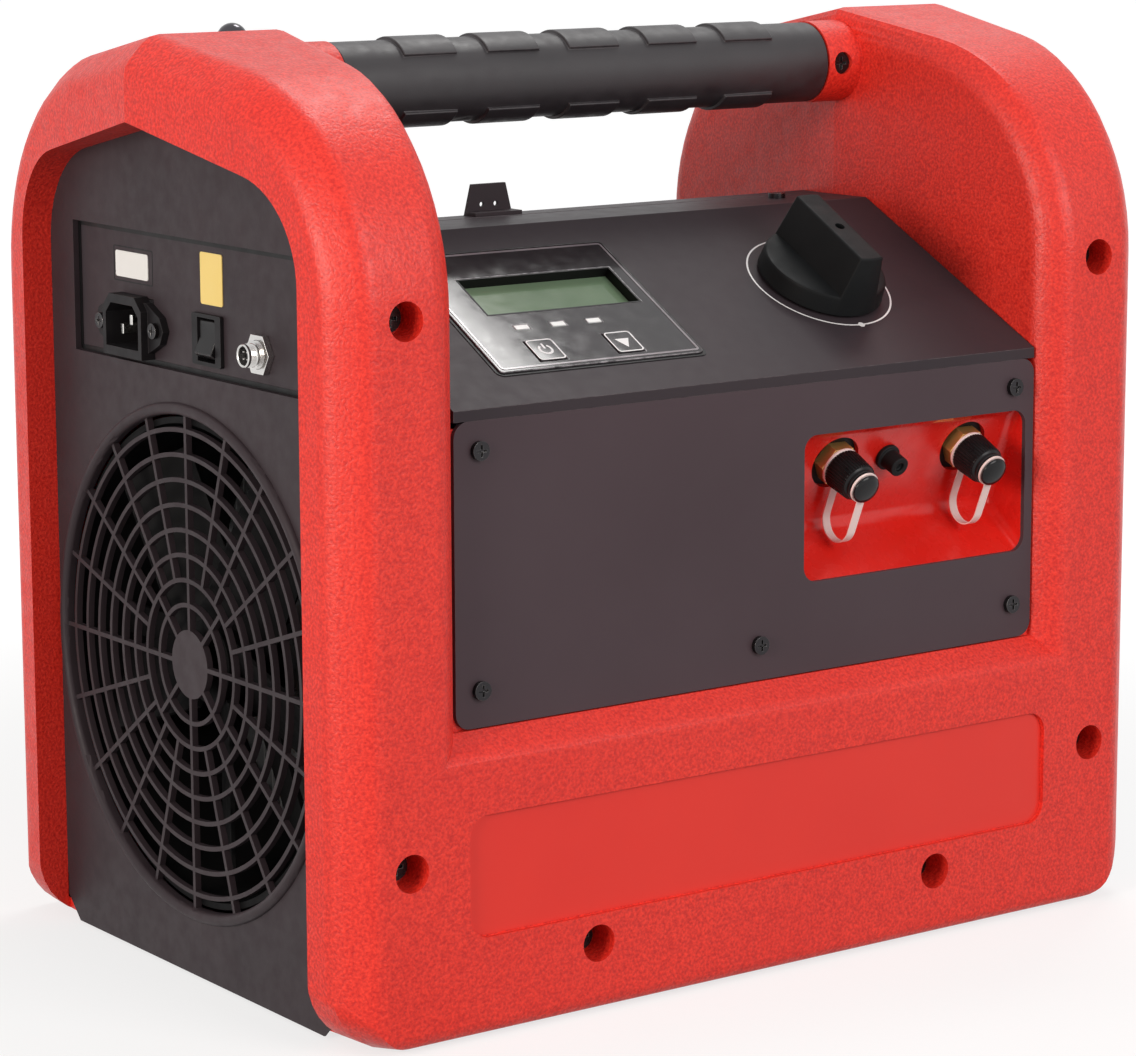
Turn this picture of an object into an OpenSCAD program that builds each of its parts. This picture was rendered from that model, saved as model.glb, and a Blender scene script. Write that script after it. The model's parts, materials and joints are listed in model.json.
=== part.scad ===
// Portable refrigerant recovery machine: two red half shells that form a carrying arch at each end,
// a sloped control panel, a port recess, a fan and condenser, and an oil-less piston compressor.
// Millimetres. Origin at the middle of the footprint, +Z up, the front faces -Y and the fan faces -X.

/* [Overall] */
// Length over the widest part, at the seam between the half shells
body_len = 400; // [385:1:430]
// Depth from the front face to the rear face
body_dep = 250; // [246:1:270]
// Height of the arches at the seam
body_h = 355; // [350:1:370]
// Height that the rubber feet stand proud of the shells
foot_proud = 1; // [0.6:0.1:3]

/* [Shells] */
// Wall of the moulded shells
wall = 3.5; // [2.5:0.1:4.5]
// How far each end leans in from the seam to the front
side_draft = 11; // [6:0.5:14]
// Bevel around the outer edges
edge_bevel = 11; // [8:0.5:13]
// Rounding of the bevel's two edges
edge_soft = 4; // [2:0.5:5]
// Rounding of the bottom corners, seen from the front
corner_r = 27; // [20:1:30]
// Radius of the arch's shoulders
shoulder_r = 85; // [75:1:90]
// Slope of the arch's roof down from the seam, degrees
roof_pitch = 10; // [8:0.5:12]
// Rounding of the bottom front edge
sill_r = 6; // [4:0.5:9]
// Width of the shell's floor behind the front face
floor_lip = 45; // [36:1:60]

/* [Arches] */
// Gap between the two arches at the seam
arch_gap = 262; // [254:1:268]
// How far each inner wall spreads from the seam to the front
arch_draft = 7; // [4:0.5:9]
// Extra width of the inner edge's flare at the face
edge_flare = 8; // [4:0.5:9]
// Width of the inner edge's flare at the seam
seam_flare = 0.6; // [0.4:0.1:2]
// Depth of the inner edge's flare
flare_depth = 9; // [8:0.5:11]
// Wall between an arch and the handle gap
arch_wall = 6; // [5.5:0.1:8]
// Height of the bottom band at the front face
band_h = 103; // [96:1:108]
// Screw recess diameter
recess_d = 14; // [12:0.5:16]
// Width of the bare badge recess
badge_w = 275; // [220:1:290]
// Height of the bare badge recess
badge_h = 45; // [30:1:50]

/* [Side panels] */
// Half width of a side opening
open_half = 100; // [99:0.5:104]
// Height of a side opening at the seam
open_peak = 324; // [315:1:328]
// Slope of a side opening's roof, degrees
open_pitch = 12; // [10:0.5:14]
// Shoulder radius of a side opening
open_r = 38; // [30:1:45]
// How far the side panels sit in from the ends
panel_set = 22; // [20:0.5:24]
// Sheet of the side panels
panel_t = 2.5; // [2:0.1:3]
// Lap of a side panel behind the shell's lip
panel_lap = 6; // [4:0.5:8]

/* [Fan grille] */
// Radius of the grille's opening
grille_r = 93.6; // [90:0.2:94.5]
// Height of the grille's centre
grille_z = 121.5; // [118:0.5:124]
// Radius of the grille's hub
grille_hub_r = 13; // [10:0.5:15]
// Number of rings between hub and rim
grille_rings = 8; // [6:1:8]
// Width of a ring
ring_w = 1.7; // [1.2:0.1:2.2]
// Ribs between the hub and the second ring
inner_ribs = 8; // [6:1:10]
// Ribs beyond the second ring
outer_ribs = 20; // [16:1:24]
// Width of the raised bead around the grille
bead_w = 4.6; // [3:0.2:5]

/* [Front plate and control panel] */
// How far the front plate sits behind the face
plate_set = 9; // [8:0.5:11]
// Sheet of the plates and the control panel
sheet = 2; // [1.5:0.1:2.5]
// Height of the control panel's front edge
deck_z = 227; // [224:1:232]
// Slope of the control panel, degrees
deck_tilt = 28.4; // [26:0.2:30]
// Distance of the deck's crest from the seam
crest_y = 20; // [16:1:24]
// Fold at the front edge of the control panel
deck_lip = 4; // [3:0.5:6]

/* [Port recess] */
// Left edge of the port recess
port_left = 21.5; // [15:0.5:30]
// Right edge of the port recess
port_right = 133; // [128:0.5:134]
// Bottom edge of the port recess
port_low = 147; // [142:1:152]
// Top edge of the port recess
port_high = 203; // [198:1:207]
// Lean of the port wall, degrees
port_tilt = 23; // [20:0.5:26]
// Height of the leaning wall
port_crease = 40; // [36:1:44]
// Wall of the port housing
port_wall = 2.5; // [2:0.1:3]
// Place of the inlet port along the machine
inlet_x = 46.5; // [40:0.5:50]
// Place of the outlet port along the machine
outlet_x = 111; // [105:0.5:115]
// Height of the port axes on the leaning wall
port_z = 189; // [185:0.5:192]
// Clearance hole around a port
port_hole_d = 22; // [19:0.5:24]
// Thread diameter of a port
port_d = 11; // [10:0.1:12]
// Diameter of a cap at its open end
cap_d = 16.6; // [15:0.1:18]
// Length of a cap's knurled body
cap_len = 13.25; // [11:0.25:15]

/* [Display] */
// Left edge of the display overlay
overlay_x = -106; // [-112:1:-102]
// Lower edge of the display overlay, up the slope
overlay_s = 18; // [14:0.5:22]
// Width of the display overlay
overlay_w = 92; // [88:1:98]
// Length of the display overlay up the slope
overlay_len = 74.5; // [70:0.5:78]
// Overlay sheet
overlay_t = 1; // [0.6:0.1:1.5]
// Width of the display window
lcd_w = 70; // [60:1:74]
// Height of the display window
lcd_h = 23.6; // [18:0.2:26]
// Side of a key
key_w = 12.3; // [10:0.1:13]
// Travel of a key
key_travel = 0.5; // [0.3:0.1:0.6]

/* [Selector] */
// Place of the selector along the machine
knob_x = 67.7; // [60:0.5:74]
// Place of the selector up the slope
knob_s = 55; // [50:0.5:60]
// Diameter of the selector knob
knob_d = 51; // [44:1:54]
// Height of the knob's grip above the panel
knob_h = 26; // [20:1:30]
// Diameter of the valve stem
stem_d = 8; // [6:0.5:10]

/* [Handle] */
// Depth of the handle's axis below the arches' peak
handle_drop = 21.5; // [21:0.5:27]
// Diameter of the handle tube
tube_d = 22; // [18:1:25]
// Diameter of the rubber grip
grip_d = 32; // [29:0.5:34]
// Length of the rubber grip
grip_len = 229; // [216:1:234]
// Diameter of the bosses that hold the handle
boss_d = 33; // [31:0.5:36]

/* [Fan and condenser] */
// Radius of the fan's blades
blade_r = 84; // [78:0.5:86]
// Number of blades
blade_count = 5; // [3:1:7]
// Diameter of the fan's shaft
fan_shaft_d = 6; // [5:0.5:8]
// Thickness of the condenser core
core_t = 36; // [30:1:40]
// Gaps between the condenser's fins
fin_count = 30; // [10:1:40]
// Passes of the condenser tube
pass_count = 8; // [4:2:8]
// Diameter of the condenser tube
coil_d = 9.5; // [8:0.5:10]

/* [Compressor] */
// Height of the crankshaft's axis
crank_z = 78; // [74:0.5:82]
// Diameter of the motor housing
motor_d = 100; // [90:1:104]
// Length of the motor housing
motor_len = 84; // [80:1:92]
// Diameter of the crankshaft
crank_d = 16; // [14:0.5:18]
// Throw of the crank pin
crank_throw = 12; // [8:0.5:13]
// Bore of the cylinder
bore_d = 44; // [36:1:48]
// Gas pipe diameter
pipe_d = 8; // [6:0.5:9]

/* [Hidden] */
$fn = 64;
arc_steps = 14;
running_fit = 0.05;
loose_fit = 0.35;
seat_fit = 0.1;
past = 1;

half_len = body_len / 2;
half_dep = body_dep / 2;
bevel_k = tan(22.5);
side_lean = side_draft / (half_dep - edge_bevel);
shoulder_y = half_dep - shoulder_r;
shoulder_z = body_h - tan(roof_pitch) * shoulder_y - shoulder_r / cos(roof_pitch);
arch_half = arch_gap / 2;
handle_z = body_h - handle_drop;
panel_x = half_len - panel_set;
panel_in = panel_x - panel_t;
open_y = open_half - open_r;
open_z = open_peak - tan(open_pitch) * open_y - open_r / cos(open_pitch);
floor_z = foot_proud + wall;
pan_z = floor_z + sheet;
pan_half_dep = half_dep - wall - 13.5;
pan_core = half_dep - floor_lip - 2;
pan_narrow = half_len - side_draft - corner_r - 2;
pan_end = pan_core - 28;
pan_notch = 3;
skirt_half = pan_end - 17;
apron_t = 0.8;
apron_half = open_half - 0.4;
corner_clear = corner_r * 0.1;
foot_d = 24;
foot_plug_d = 8;
arch_screw_in = 50;
crest_screw_x = 101;

plate_y = half_dep - plate_set;
plate_back = plate_y - sheet;
plate_fit = 0.5;
plate_low = band_h + flare_depth + plate_fit;
plate_high = deck_z - deck_lip;
plate_half = arch_half + arch_draft * plate_y / half_dep - plate_fit;
plate_corner = 6;
ledge_w = 19;
ledge_t = 3;
plate_screw_in = 10.6;
plate_screws_at = [
    [-1, plate_high - plate_screw_in],
    [1, plate_high - plate_screw_in],
    [-1, plate_low + plate_screw_in + 3],
    [1, plate_low + plate_screw_in + 3],
    [0, plate_low + plate_screw_in + 3]
];
column_in = 31;
column_x = arch_half + column_in;
column_drop = 195;
foot_screw_z = 27;
shell_screws_at = [
    [-column_x, shoulder_z], [column_x, shoulder_z],
    [-column_x, shoulder_z - column_drop], [column_x, shoulder_z - column_drop],
    [-column_x / 2, foot_screw_z], [column_x / 2, foot_screw_z]
];
recess_depth = 14;
screw_shank_d = 5;
badge_z = 60.5;
badge_depth = 1.8;

crest_z = deck_z + (plate_y - crest_y) * tan(deck_tilt);
deck_end = 8;
deck_joint = 1.2;
inner_front = half_dep - 30;
wall_drop = 12;

port_ceiling = 4.3;
port_top_y = plate_back - port_ceiling;
port_base_y = port_top_y - (port_high - port_z) * tan(port_tilt);
crease_y = port_top_y - port_crease * tan(port_tilt);
crease_z = port_high - port_crease;
bracket_t = 3;
bracket_over = 18;
bracket_low = 14;
bracket_w = 24;
hex_af = 15;
hex_top = 3;
ring_t = 1.4;
cap_base = hex_top + ring_t + loose_fit;
cap_neck = cap_base + cap_len;
cap_ring_t = 1.2;
cap_tip = cap_neck + cap_ring_t + 2 * seat_fit * 2;
cap_end_d = cap_d - 2.8;
cap_groove_d = 10;
thread_len = cap_len - 1.3;
strap_w = 3.6;
strap_t = 0.9;
strap_leg = 11.5;
vent_x = (inlet_x + outlet_x) / 2 - 6.75;

frame_w = 3.5;
lcd_x = overlay_x + overlay_w / 2 + 4;
lcd_s = overlay_s + 45.8;
lcd_drop = 3;
lamp_s = overlay_s + 25.4;
lamp_size = [6.5, 3];
lamp_xs = [overlay_x + 24.8, overlay_x + 41.1, overlay_x + 57.2];
key_s = overlay_s + 10.4;
power_x = overlay_x + 26;
scroll_x = overlay_x + 61.2;
board_h = -14;
board_t = 1.6;
post_d = 5;

knob_gap = 0.8;
knob_disc_h = 9;
valve_size = [60, 40, 52];
stem_low = -44;

tube_half = arch_half + arch_wall + 10;
boss_x = grip_len / 2 + 0.5;
pad_h = 1.3;

side_z = 256;
side_window = [164, 50];
mains_at = [39.3, side_z - 11.4];
mains_body = [29, 23.2];
mains_plug = [27, 21];
mains_cavity = [24.4, 16.4];
mains_proud = 6;
mains_deep = 16;
plug_fit = 0.2;
mains_flange_t = 3;
mains_screw_x = 20;
breaker_at = [-15.3, side_z - 11.3];
signal_at = [-52.3, side_z - 12.4];
rating_at = [40.9, side_z + 10.9];
rating_size = [24.3, 9.8];
caution_at = [-17.6, side_z + 11.1];
caution_size = [15.5, 19];
label_t = 0.3;
signal_d = 8.6;
signal_len = 4;
signal_bore_d = 6.8;
signal_shank_d = 10.2;
signal_nut_af = 14;
signal_nut_h = 2.6;
signal_step = 4.4;
signal_deep = 14;
rocker_r = 7.6;
rocker_w = 11.8;
rocker_z = -2.5;
rocker_tilt = 12;
shroud_r = blade_r + 6;
shroud_len = 25.5;
fan_motor_d = 40;
fan_motor_len = 32;
hub_r = 16;
hub_gap = 5;
hub_len = 16;
core_clear = 8;
core_x = shroud_len + fan_motor_len + core_clear - panel_in;
duct_len = core_x + panel_in - loose_fit;
core_half = 92;
core_low = 30;
core_head = 12;
core_h = deck_z - core_low - core_head;
pass_pitch = 22;
fin_t = 1;
plate_foot = 2;

crank_y = 10;
motor_clear = 12;
base_in = 4;
base_half = 52;
isolator_in = 16;
isolator_y = 40;
isolator_d = 20;
capacitor_x = -20;
capacitor_d = 36;
capacitor_h = 70;
tag_gap = 8;
tag_size = [2, 6, 8];
motor_x = core_x + core_t + motor_clear;
case_x = motor_x + motor_len;
case_len = 70;
case_half = 45;
case_wall = 8;
case_r = 38;
throw_x = case_x + case_len / 2;
cylinder_h = 46;
head_size = [76, 76, 18];
case_top = crank_z + case_half + 3;
head_z = case_top + cylinder_h;
base_z = pan_z + 13.5;
base_t = 4;
rotor_r = 33;
rotor_gap = 0.4;

red = "#e0342b";
black = "#1d1d1f";
charcoal = "#2b292b";
plate_grey = "#504346";
steel = "#b9bcc0";
brass = "#b58b3c";
alloy = "#a9adb2";
copper = "#b4663c";

// Points on an arc around c, from angle a0 to a1
function arc(c, r, a0, a1, steps = arc_steps) =
    [for (k = [0:steps]) c + r * [cos(a0 + (a1 - a0) * k / steps), sin(a0 + (a1 - a0) * k / steps)]];

// Inner face of an arch at distance d in front of the seam
function arch_x(d) = arch_half + arch_draft * d / half_dep;

// Whole end profile of a half shell, moved in by inset and ending at y = end
function shell_line(inset, end) =
    let (r = max(sill_r - inset, 2))
    concat(
        end > 0 ? [[end, body_h - inset / cos(roof_pitch)]] : [],
        [[0, body_h - inset / cos(roof_pitch)]],
        arc([-shoulder_y, shoulder_z], shoulder_r - inset, 90 + roof_pitch, 180),
        arc([-(half_dep - inset - r), foot_proud + inset + r], r, 180, 270, 4),
        [[end, foot_proud + inset]]
    );

// Front half of a side opening, seen from the end, grown by grow and cut off at height low
function opening_half(grow, low) = concat(
    [[0, open_peak + grow / cos(open_pitch)]],
    arc([-open_y, open_z], open_r + grow, 90 + open_pitch, 180),
    [[-(open_half + grow), low]]
);

// The same carried past the seam, to cut with
function opening_line(grow, low) =
    concat([[past, open_peak + grow / cos(open_pitch)]], opening_half(grow, low), [[past, low]]);

// Both halves of a side opening
function opening_whole(grow, low) =
    let (line = opening_half(grow, low))
    concat(line, [for (k = [len(line) - 1:-1:1]) [-line[k][0], line[k][1]]]);

// Height of a condenser pass
function pass_z(k) = core_low + core_h / 2 + (k - (pass_count - 1) / 2) * pass_pitch;

// Ring of points on a plane that leans along the machine towards the front
function leaning_ring(points, x, lean) = [for (p = points) [x + lean * p[0], p[0], p[1]]];

// Deck sheet from its front fold to y = end, seen from the end
function deck_section(end) =
    let (bend = sheet * tan(deck_tilt / 2), drop = sheet / cos(deck_tilt))
    [
        [-plate_y, plate_high], [-plate_y, deck_z], [-crest_y, crest_z], [end, crest_z],
        [end, crest_z - sheet], [-crest_y + bend, crest_z - sheet],
        [-plate_back, deck_z - drop + sheet * tan(deck_tilt)], [-plate_back, plate_high]
    ];

module along_x(x0, x1) {
    translate([x0, 0, 0]) rotate([90, 0, 90]) linear_extrude(x1 - x0) children();
}

module rod_x(x0, x1, d, y = 0, z = 0) {
    translate([x0, y, z]) rotate([0, 90, 0]) cylinder(d = d, h = x1 - x0);
}

module rounded(w, h, r) {
    square([w - 2 * r, h], center = true);
    if (h > 2 * r) square([w, h - 2 * r], center = true);
    for (x = [r - w / 2, w / 2 - r], y = [r - h / 2, h / 2 - r]) translate([x, y]) circle(r = r);
}

// Places children on the front face, with local z pointing out of it
module on_front(x, z, depth = 0) {
    translate([x, -half_dep + depth, z]) rotate([90, 0, 0]) children();
}

// Places children on the deck, with local y up the slope and local z out of it
module on_deck(x, s, h = 0) {
    translate([0, -plate_y, deck_z]) rotate([deck_tilt, 0, 0]) translate([x, s, h]) children();
}

// Places children on the leaning port wall, with local z along the port
module on_port(x) {
    translate([x, -port_base_y, port_z]) rotate([90 + port_tilt, 0, 0]) children();
}

// Places children on the inlet plate, with local x to the front and local z out of it
module on_inlet(at) {
    translate([-panel_in, at[0], at[1]]) rotate([90, 0, -90]) children();
}

module both_ends() {
    for (m = [0, 1]) mirror([m, 0, 0]) children();
}

module both_faces() {
    for (a = [0, 180]) rotate([0, 0, a]) children();
}

module cross_head_screw(head_d, head_h, shank_d, shank_len) {
    difference() {
        union() {
            cylinder(d = head_d, h = head_h);
            translate([0, 0, -shank_len]) cylinder(d = shank_d, h = shank_len);
        }
        for (a = [0, 90])
            rotate([0, 0, a]) translate([-head_d * 0.3, -head_d * 0.06, head_h * 0.5])
                cube([head_d * 0.6, head_d * 0.12, head_h]);
    }
}

// Solid through a row of rings, from the lowest x to the highest
module loft(rings) {
    n = len(rings[0]);
    last = (len(rings) - 1) * n;
    polyhedron(
        points = [for (r = rings) each r],
        faces = concat(
            [[for (i = [0:n - 1]) i]],
            [for (k = [0:n:last - n], i = [0:n - 1]) [k + i, k + n + i, k + n + (i + 1) % n]],
            [for (k = [0:n:last - n], i = [0:n - 1]) [k + i, k + n + (i + 1) % n, k + (i + 1) % n]],
            [[for (i = [n - 1:-1:0]) last + i]]
        )
    );
}

// Outer form of a half shell from end to end, moved in by t
module shell_form(t, end) {
    edge = shell_line(t, end);
    face = shell_line(edge_bevel + t * bevel_k, end);
    edge_x = half_len - edge_bevel - t * bevel_k;
    loft([
        leaning_ring(face, t - half_len, -side_lean), leaning_ring(edge, -edge_x, -side_lean),
        leaning_ring(edge, edge_x, side_lean), leaning_ring(face, half_len - t, side_lean)
    ]);
}

// Point between a and c that rounds the corner at b
function softened(a, b, c) = a / 4 + b / 2 + c / 4;

// One arch: its flared edge towards the handle gap, then its bevel, each step as [inset, x at the seam, lean]
module arch_form() {
    inner = [flare_depth, arch_half, -arch_draft / half_dep];
    rim = [0, arch_half + seam_flare, -(arch_draft + edge_flare) / half_dep];
    edge = [0, half_len - edge_bevel, side_lean];
    face = [edge_bevel, half_len, side_lean];
    inner_end = inner + [edge_soft, 0, 0];
    inner_turn = inner + (rim - inner) * 0.3;
    rim_turn = rim + (inner - rim) * 0.3;
    rim_end = rim + [0, edge_soft, 0];
    edge_end = edge - [0, edge_soft, 0];
    edge_turn = edge + (face - edge) * 0.27;
    face_turn = face + (edge - face) * 0.27;
    face_end = face + [edge_soft, 0, 0];
    loft([for (p = [
        inner_end, softened(inner_end, inner, inner_turn), inner_turn,
        rim_turn, softened(rim_turn, rim, rim_end), rim_end,
        edge_end, softened(edge_end, edge, edge_turn), edge_turn,
        face_turn, softened(face_turn, face, face_end), face_end
    ]) leaning_ring(shell_line(p[0], 0), p[1], p[2])]);
}

// Outline from the front with rounded bottom corners, w to each side
function front_ring(y, w, low, r) = leaning_ring(concat(
    [[w, body_h + 10], [-w, body_h + 10]],
    arc([r - w, low + r], r, 180, 270, 8), arc([w - r, low + r], r, 270, 360, 8)
), y, 0);

// Limits of a half shell seen from the front, moved in by t, which round the bottom corners
module corner_form(t) {
    slack = 0.3;
    edge_w = half_len - edge_bevel - side_lean * half_dep + slack - t;
    face_w = half_len - side_lean * (half_dep - edge_bevel) + slack - t;
    low = foot_proud - slack + t;
    rotate([0, 0, 90]) loft([
        front_ring(-half_dep - slack + t, edge_w, low + 2, corner_r * 0.55),
        front_ring(-half_dep + edge_bevel, face_w, low, corner_r - t),
        front_ring(2 * past, half_len + slack - t, low, corner_r - t)
    ]);
}

// Outer surface of a half shell: the two arches and the band that joins them
module shell_outer() {
    band_turn = edge_soft * 0.5;
    intersection() {
        union() {
            both_ends() arch_form();
            intersection() {
                shell_form(0, 0);
                along_x(-arch_half - 40, arch_half + 40) polygon([
                    [0, 0], [-half_dep - past, 0], [-half_dep - past, band_h - edge_soft - past],
                    [-half_dep, band_h - edge_soft], [-half_dep + band_turn / 4, band_h - band_turn / 4],
                    [-half_dep + band_turn, band_h + band_turn],
                    [-half_dep + flare_depth, band_h + flare_depth], [0, band_h + flare_depth]
                ]);
            }
        }
        corner_form(0);
    }
}

// Inner walls of the arches, cut away where the machine is open inside
module arch_walls() {
    deck_in = deck_z + (plate_y - inner_front) * tan(deck_tilt) - wall_drop;
    difference() {
        both_ends() translate([0, 0, band_h]) linear_extrude(body_h) polygon([
            [arch_half - 9, past], [arch_x(0) + arch_wall, past],
            [arch_x(half_dep) + arch_wall, -half_dep], [arch_half - 9, -half_dep]
        ]);
        along_x(-half_len, half_len) polygon([
            [past, 0], [-inner_front, 0], [-inner_front, deck_in],
            [-crest_y, crest_z - wall_drop], [past, crest_z - wall_drop]
        ]);
    }
}

module screw_bosses() {
    for (p = shell_screws_at)
        on_front(p[0], p[1]) translate([0, 0, -recess_depth - 10])
            cylinder(d = recess_d + 4, h = recess_depth + 10);
}

module screw_recesses() {
    for (p = shell_screws_at) on_front(p[0], p[1]) {
        translate([0, 0, -recess_depth]) cylinder(d = recess_d, h = recess_depth + past);
        translate([0, 0, -recess_depth - 12]) cylinder(d = screw_shank_d + 2 * seat_fit, h = 14);
    }
}

// Flange behind the front or rear plate that its screws bite into
module plate_ledge() {
    difference() {
        translate([0, -plate_back, 0]) rotate([90, 0, 0]) mirror([0, 0, 1]) linear_extrude(ledge_t) {
            side_x = plate_half - ledge_w;
            both_sides() translate([side_x, plate_low - plate_fit])
                square([ledge_w + plate_fit + 1, plate_high - plate_low - 2]);
            translate([-side_x - 1, plate_low - plate_fit - 1]) square([2 * side_x + 2, ledge_w]);
        }
        for (p = plate_screws_at)
            translate([p[0] * (plate_half - plate_screw_in), -plate_back + ledge_t + past, p[1]])
                rotate([90, 0, 0])
                cylinder(d = 3, h = ledge_t + 2 * past);
    }
}

module both_sides() {
    for (m = [0, 1]) mirror([m, 0]) children();
}

// Half boss around each end of the handle tube, with a screw recess at the front
module handle_bosses() {
    both_ends() difference() {
        rod_x(boss_x, arch_x(0) + 1, boss_d, 0, handle_z);
        rod_x(boss_x - past, arch_x(0) + 2, tube_d + 2 * seat_fit, 0, handle_z);
        translate([0, 0, handle_z - boss_d]) cube([half_len, boss_d, 2 * boss_d]);
        handle_screw_place() translate([0, 0, -4]) cylinder(d = 9, h = 10);
        handle_screw_place() translate([0, 0, -4.8]) cylinder(d = 3.2, h = 10);
    }
}

module handle_screw_place() {
    translate([boss_x + 7, -boss_d / 2, handle_z]) rotate([90, 0, 0]) children();
}

// Room inside a half shell, less the walls and bosses that stand in it
module shell_room() {
    difference() {
        intersection() {
            shell_form(wall, past);
            corner_form(wall);
        }
        arch_walls();
        screw_bosses();
        both_ends() along_x(panel_x, half_len) polygon(opening_line(wall, 0));
        translate([-arch_x(half_dep), -half_dep, band_h - 2])
            cube([2 * arch_x(half_dep), half_dep - plate_back + ledge_t, flare_depth + 3]);
    }
}

module shell_half() {
    difference() {
        shell_outer();
        shell_room();
        screw_recesses();
        both_ends() along_x(panel_x - past, half_len + past) polygon(opening_line(0, -past));
        translate([-half_len, -(half_dep - floor_lip), -past])
            cube([body_len, half_dep - floor_lip + past, floor_z + 2 * past]);
        on_front(0, badge_z, badge_depth) linear_extrude(badge_depth + past) rounded(badge_w, badge_h, 8);
        both_ends() rod_x(arch_half - 2, tube_half + past, tube_d + 2 * seat_fit, 0, handle_z);
        foot_places() translate([0, 0, -past])
            cylinder(d = foot_plug_d + 2 * seat_fit, h = floor_z + 2 * past);
    }
    handle_bosses();
}

module front_shell() color(red) {
    difference() {
        union() {
            shell_half();
            plate_ledge();
        }
        translate([port_left - port_wall - 1, -half_dep, port_low - port_wall - 1])
            cube([port_right - port_left + 2 * port_wall + 2, half_dep - plate_back + ledge_t + past,
                  port_high - port_low + 2 * port_wall + 2]);
    }
}

module rear_shell() color(red) rotate([0, 0, 180]) {
    shell_half();
    plate_ledge();
}

module grille_face() {
    ring_pitch = (grille_r - grille_hub_r) / (grille_rings + 0.6);
    second_r = grille_hub_r + 2 * ring_pitch;
    circle(r = grille_hub_r);
    for (k = [1:grille_rings]) difference() {
        circle(r = grille_hub_r + k * ring_pitch + ring_w / 2);
        circle(r = grille_hub_r + k * ring_pitch - ring_w / 2);
    }
    for (k = [0:inner_ribs - 1])
        rotate(k * 360 / inner_ribs) translate([grille_hub_r - 1, -ring_w / 2])
            square([second_r - grille_hub_r + 1, ring_w]);
    for (k = [0:outer_ribs - 1])
        rotate(k * 360 / outer_ribs) translate([second_r, -ring_w / 2])
            square([grille_r - second_r + 1, ring_w]);
}

// Side panel, which laps behind the shells' lips except at the rounded bottom corners
module side_face() {
    difference() {
        polygon(opening_whole(panel_lap, pan_z));
        both_sides() translate([open_half - 0.4, pan_z - past]) square([2 * panel_lap, corner_r / 2]);
        both_sides() polygon([
            [pan_end, pan_z - past], [open_half + panel_lap, pan_z - past],
            [open_half + panel_lap, pan_z + corner_clear], [open_half, pan_z + corner_clear]
        ]);
    }
    translate([-skirt_half, foot_proud + 0.5]) square([2 * skirt_half, pan_z - foot_proud]);
}

// Thin straight lower edge, which hides the ends of the shells' floors
module side_apron() {
    low = foot_proud + 0.5;
    translate([-apron_half, low]) square([2 * apron_half, pan_z + corner_clear + 1.5 - low]);
}

module left_side_panel() color(black) {
    along_x(-panel_x, -panel_x + apron_t) side_apron();
    along_x(-panel_x, -panel_in) {
        difference() {
            side_face();
            translate([0, grille_z]) circle(r = grille_r);
            translate([-side_window[0] / 2, side_z - side_window[1] / 2]) square(side_window);
        }
        translate([0, grille_z]) grille_face();
    }
    translate([-panel_x, 0, grille_z]) rotate([0, -90, 0]) rotate_extrude() intersection() {
        translate([grille_r + bead_w / 2, 0]) circle(d = bead_w);
        translate([grille_r, 0]) square([bead_w, bead_w]);
    }
}

module right_side_panel() color(black) {
    slot_rows = 10;
    slot_pitch = 15;
    along_x(panel_x - apron_t, panel_x) side_apron();
    along_x(panel_in, panel_x) difference() {
        side_face();
        for (k = [0:slot_rows - 1], m = [-1, 1])
            translate([m * open_half * 0.42, grille_z + (k - (slot_rows - 1) / 2) * slot_pitch])
                rounded(open_half * 0.7, 6, 3);
    }
}

module inlet_plate() color(black) {
    lap = 6;
    along_x(-panel_in, -panel_in + sheet) translate([0, side_z]) difference() {
        square([side_window[0] + 2 * lap, side_window[1] + 2 * lap], center = true);
        translate([mains_at[0], mains_at[1] - side_z])
            square([mains_plug[0] + 2 * plug_fit, mains_plug[1] + 2 * plug_fit], center = true);
        translate([breaker_at[0], breaker_at[1] - side_z]) square([18.4, 16.9], center = true);
        translate([signal_at[0], signal_at[1] - side_z]) circle(d = signal_shank_d + 2 * seat_fit);
    }
}

module plate_sheet(with_ports) {
    translate([0, -plate_back, 0]) rotate([90, 0, 0]) linear_extrude(sheet) difference() {
        translate([0, (plate_low + plate_high) / 2])
            rounded(2 * plate_half, plate_high - plate_low, plate_corner);
        for (p = plate_screws_at) translate([p[0] * (plate_half - plate_screw_in), p[1]]) circle(d = 3.4);
        if (with_ports) translate([(port_left + port_right) / 2, (port_low + port_high) / 2])
            rounded(port_right - port_left, port_high - port_low, 6);
    }
}

module front_plate() color(plate_grey) plate_sheet(true);

module rear_plate() color(plate_grey) rotate([0, 0, 180]) plate_sheet(false);

module deck_sheet(end) {
    deck_fit = plate_fit;
    intersection() {
        along_x(-half_len, half_len) polygon(deck_section(end));
        linear_extrude(body_h) polygon([
            [-arch_x(-end) + deck_fit, end], [arch_x(-end) - deck_fit, end],
            [arch_x(plate_y) - deck_fit, -plate_y], [-arch_x(plate_y) + deck_fit, -plate_y]
        ]);
    }
}

module control_panel() color(charcoal) difference() {
    deck_sheet(deck_end);
    on_deck(overlay_x + frame_w, overlay_s + frame_w, -2 * sheet)
        cube([overlay_w - 2 * frame_w, overlay_len - 2 * frame_w, 4 * sheet]);
    on_deck(knob_x, knob_s, -2 * sheet) cylinder(d = stem_d + 5, h = 4 * sheet);
    both_ends() translate([crest_screw_x, 0, crest_z - 2 * sheet]) cylinder(d = 3.4, h = 4 * sheet);
}

module rear_cover() color(charcoal) rotate([0, 0, 180]) deck_sheet(-deck_end - deck_joint);

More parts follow.
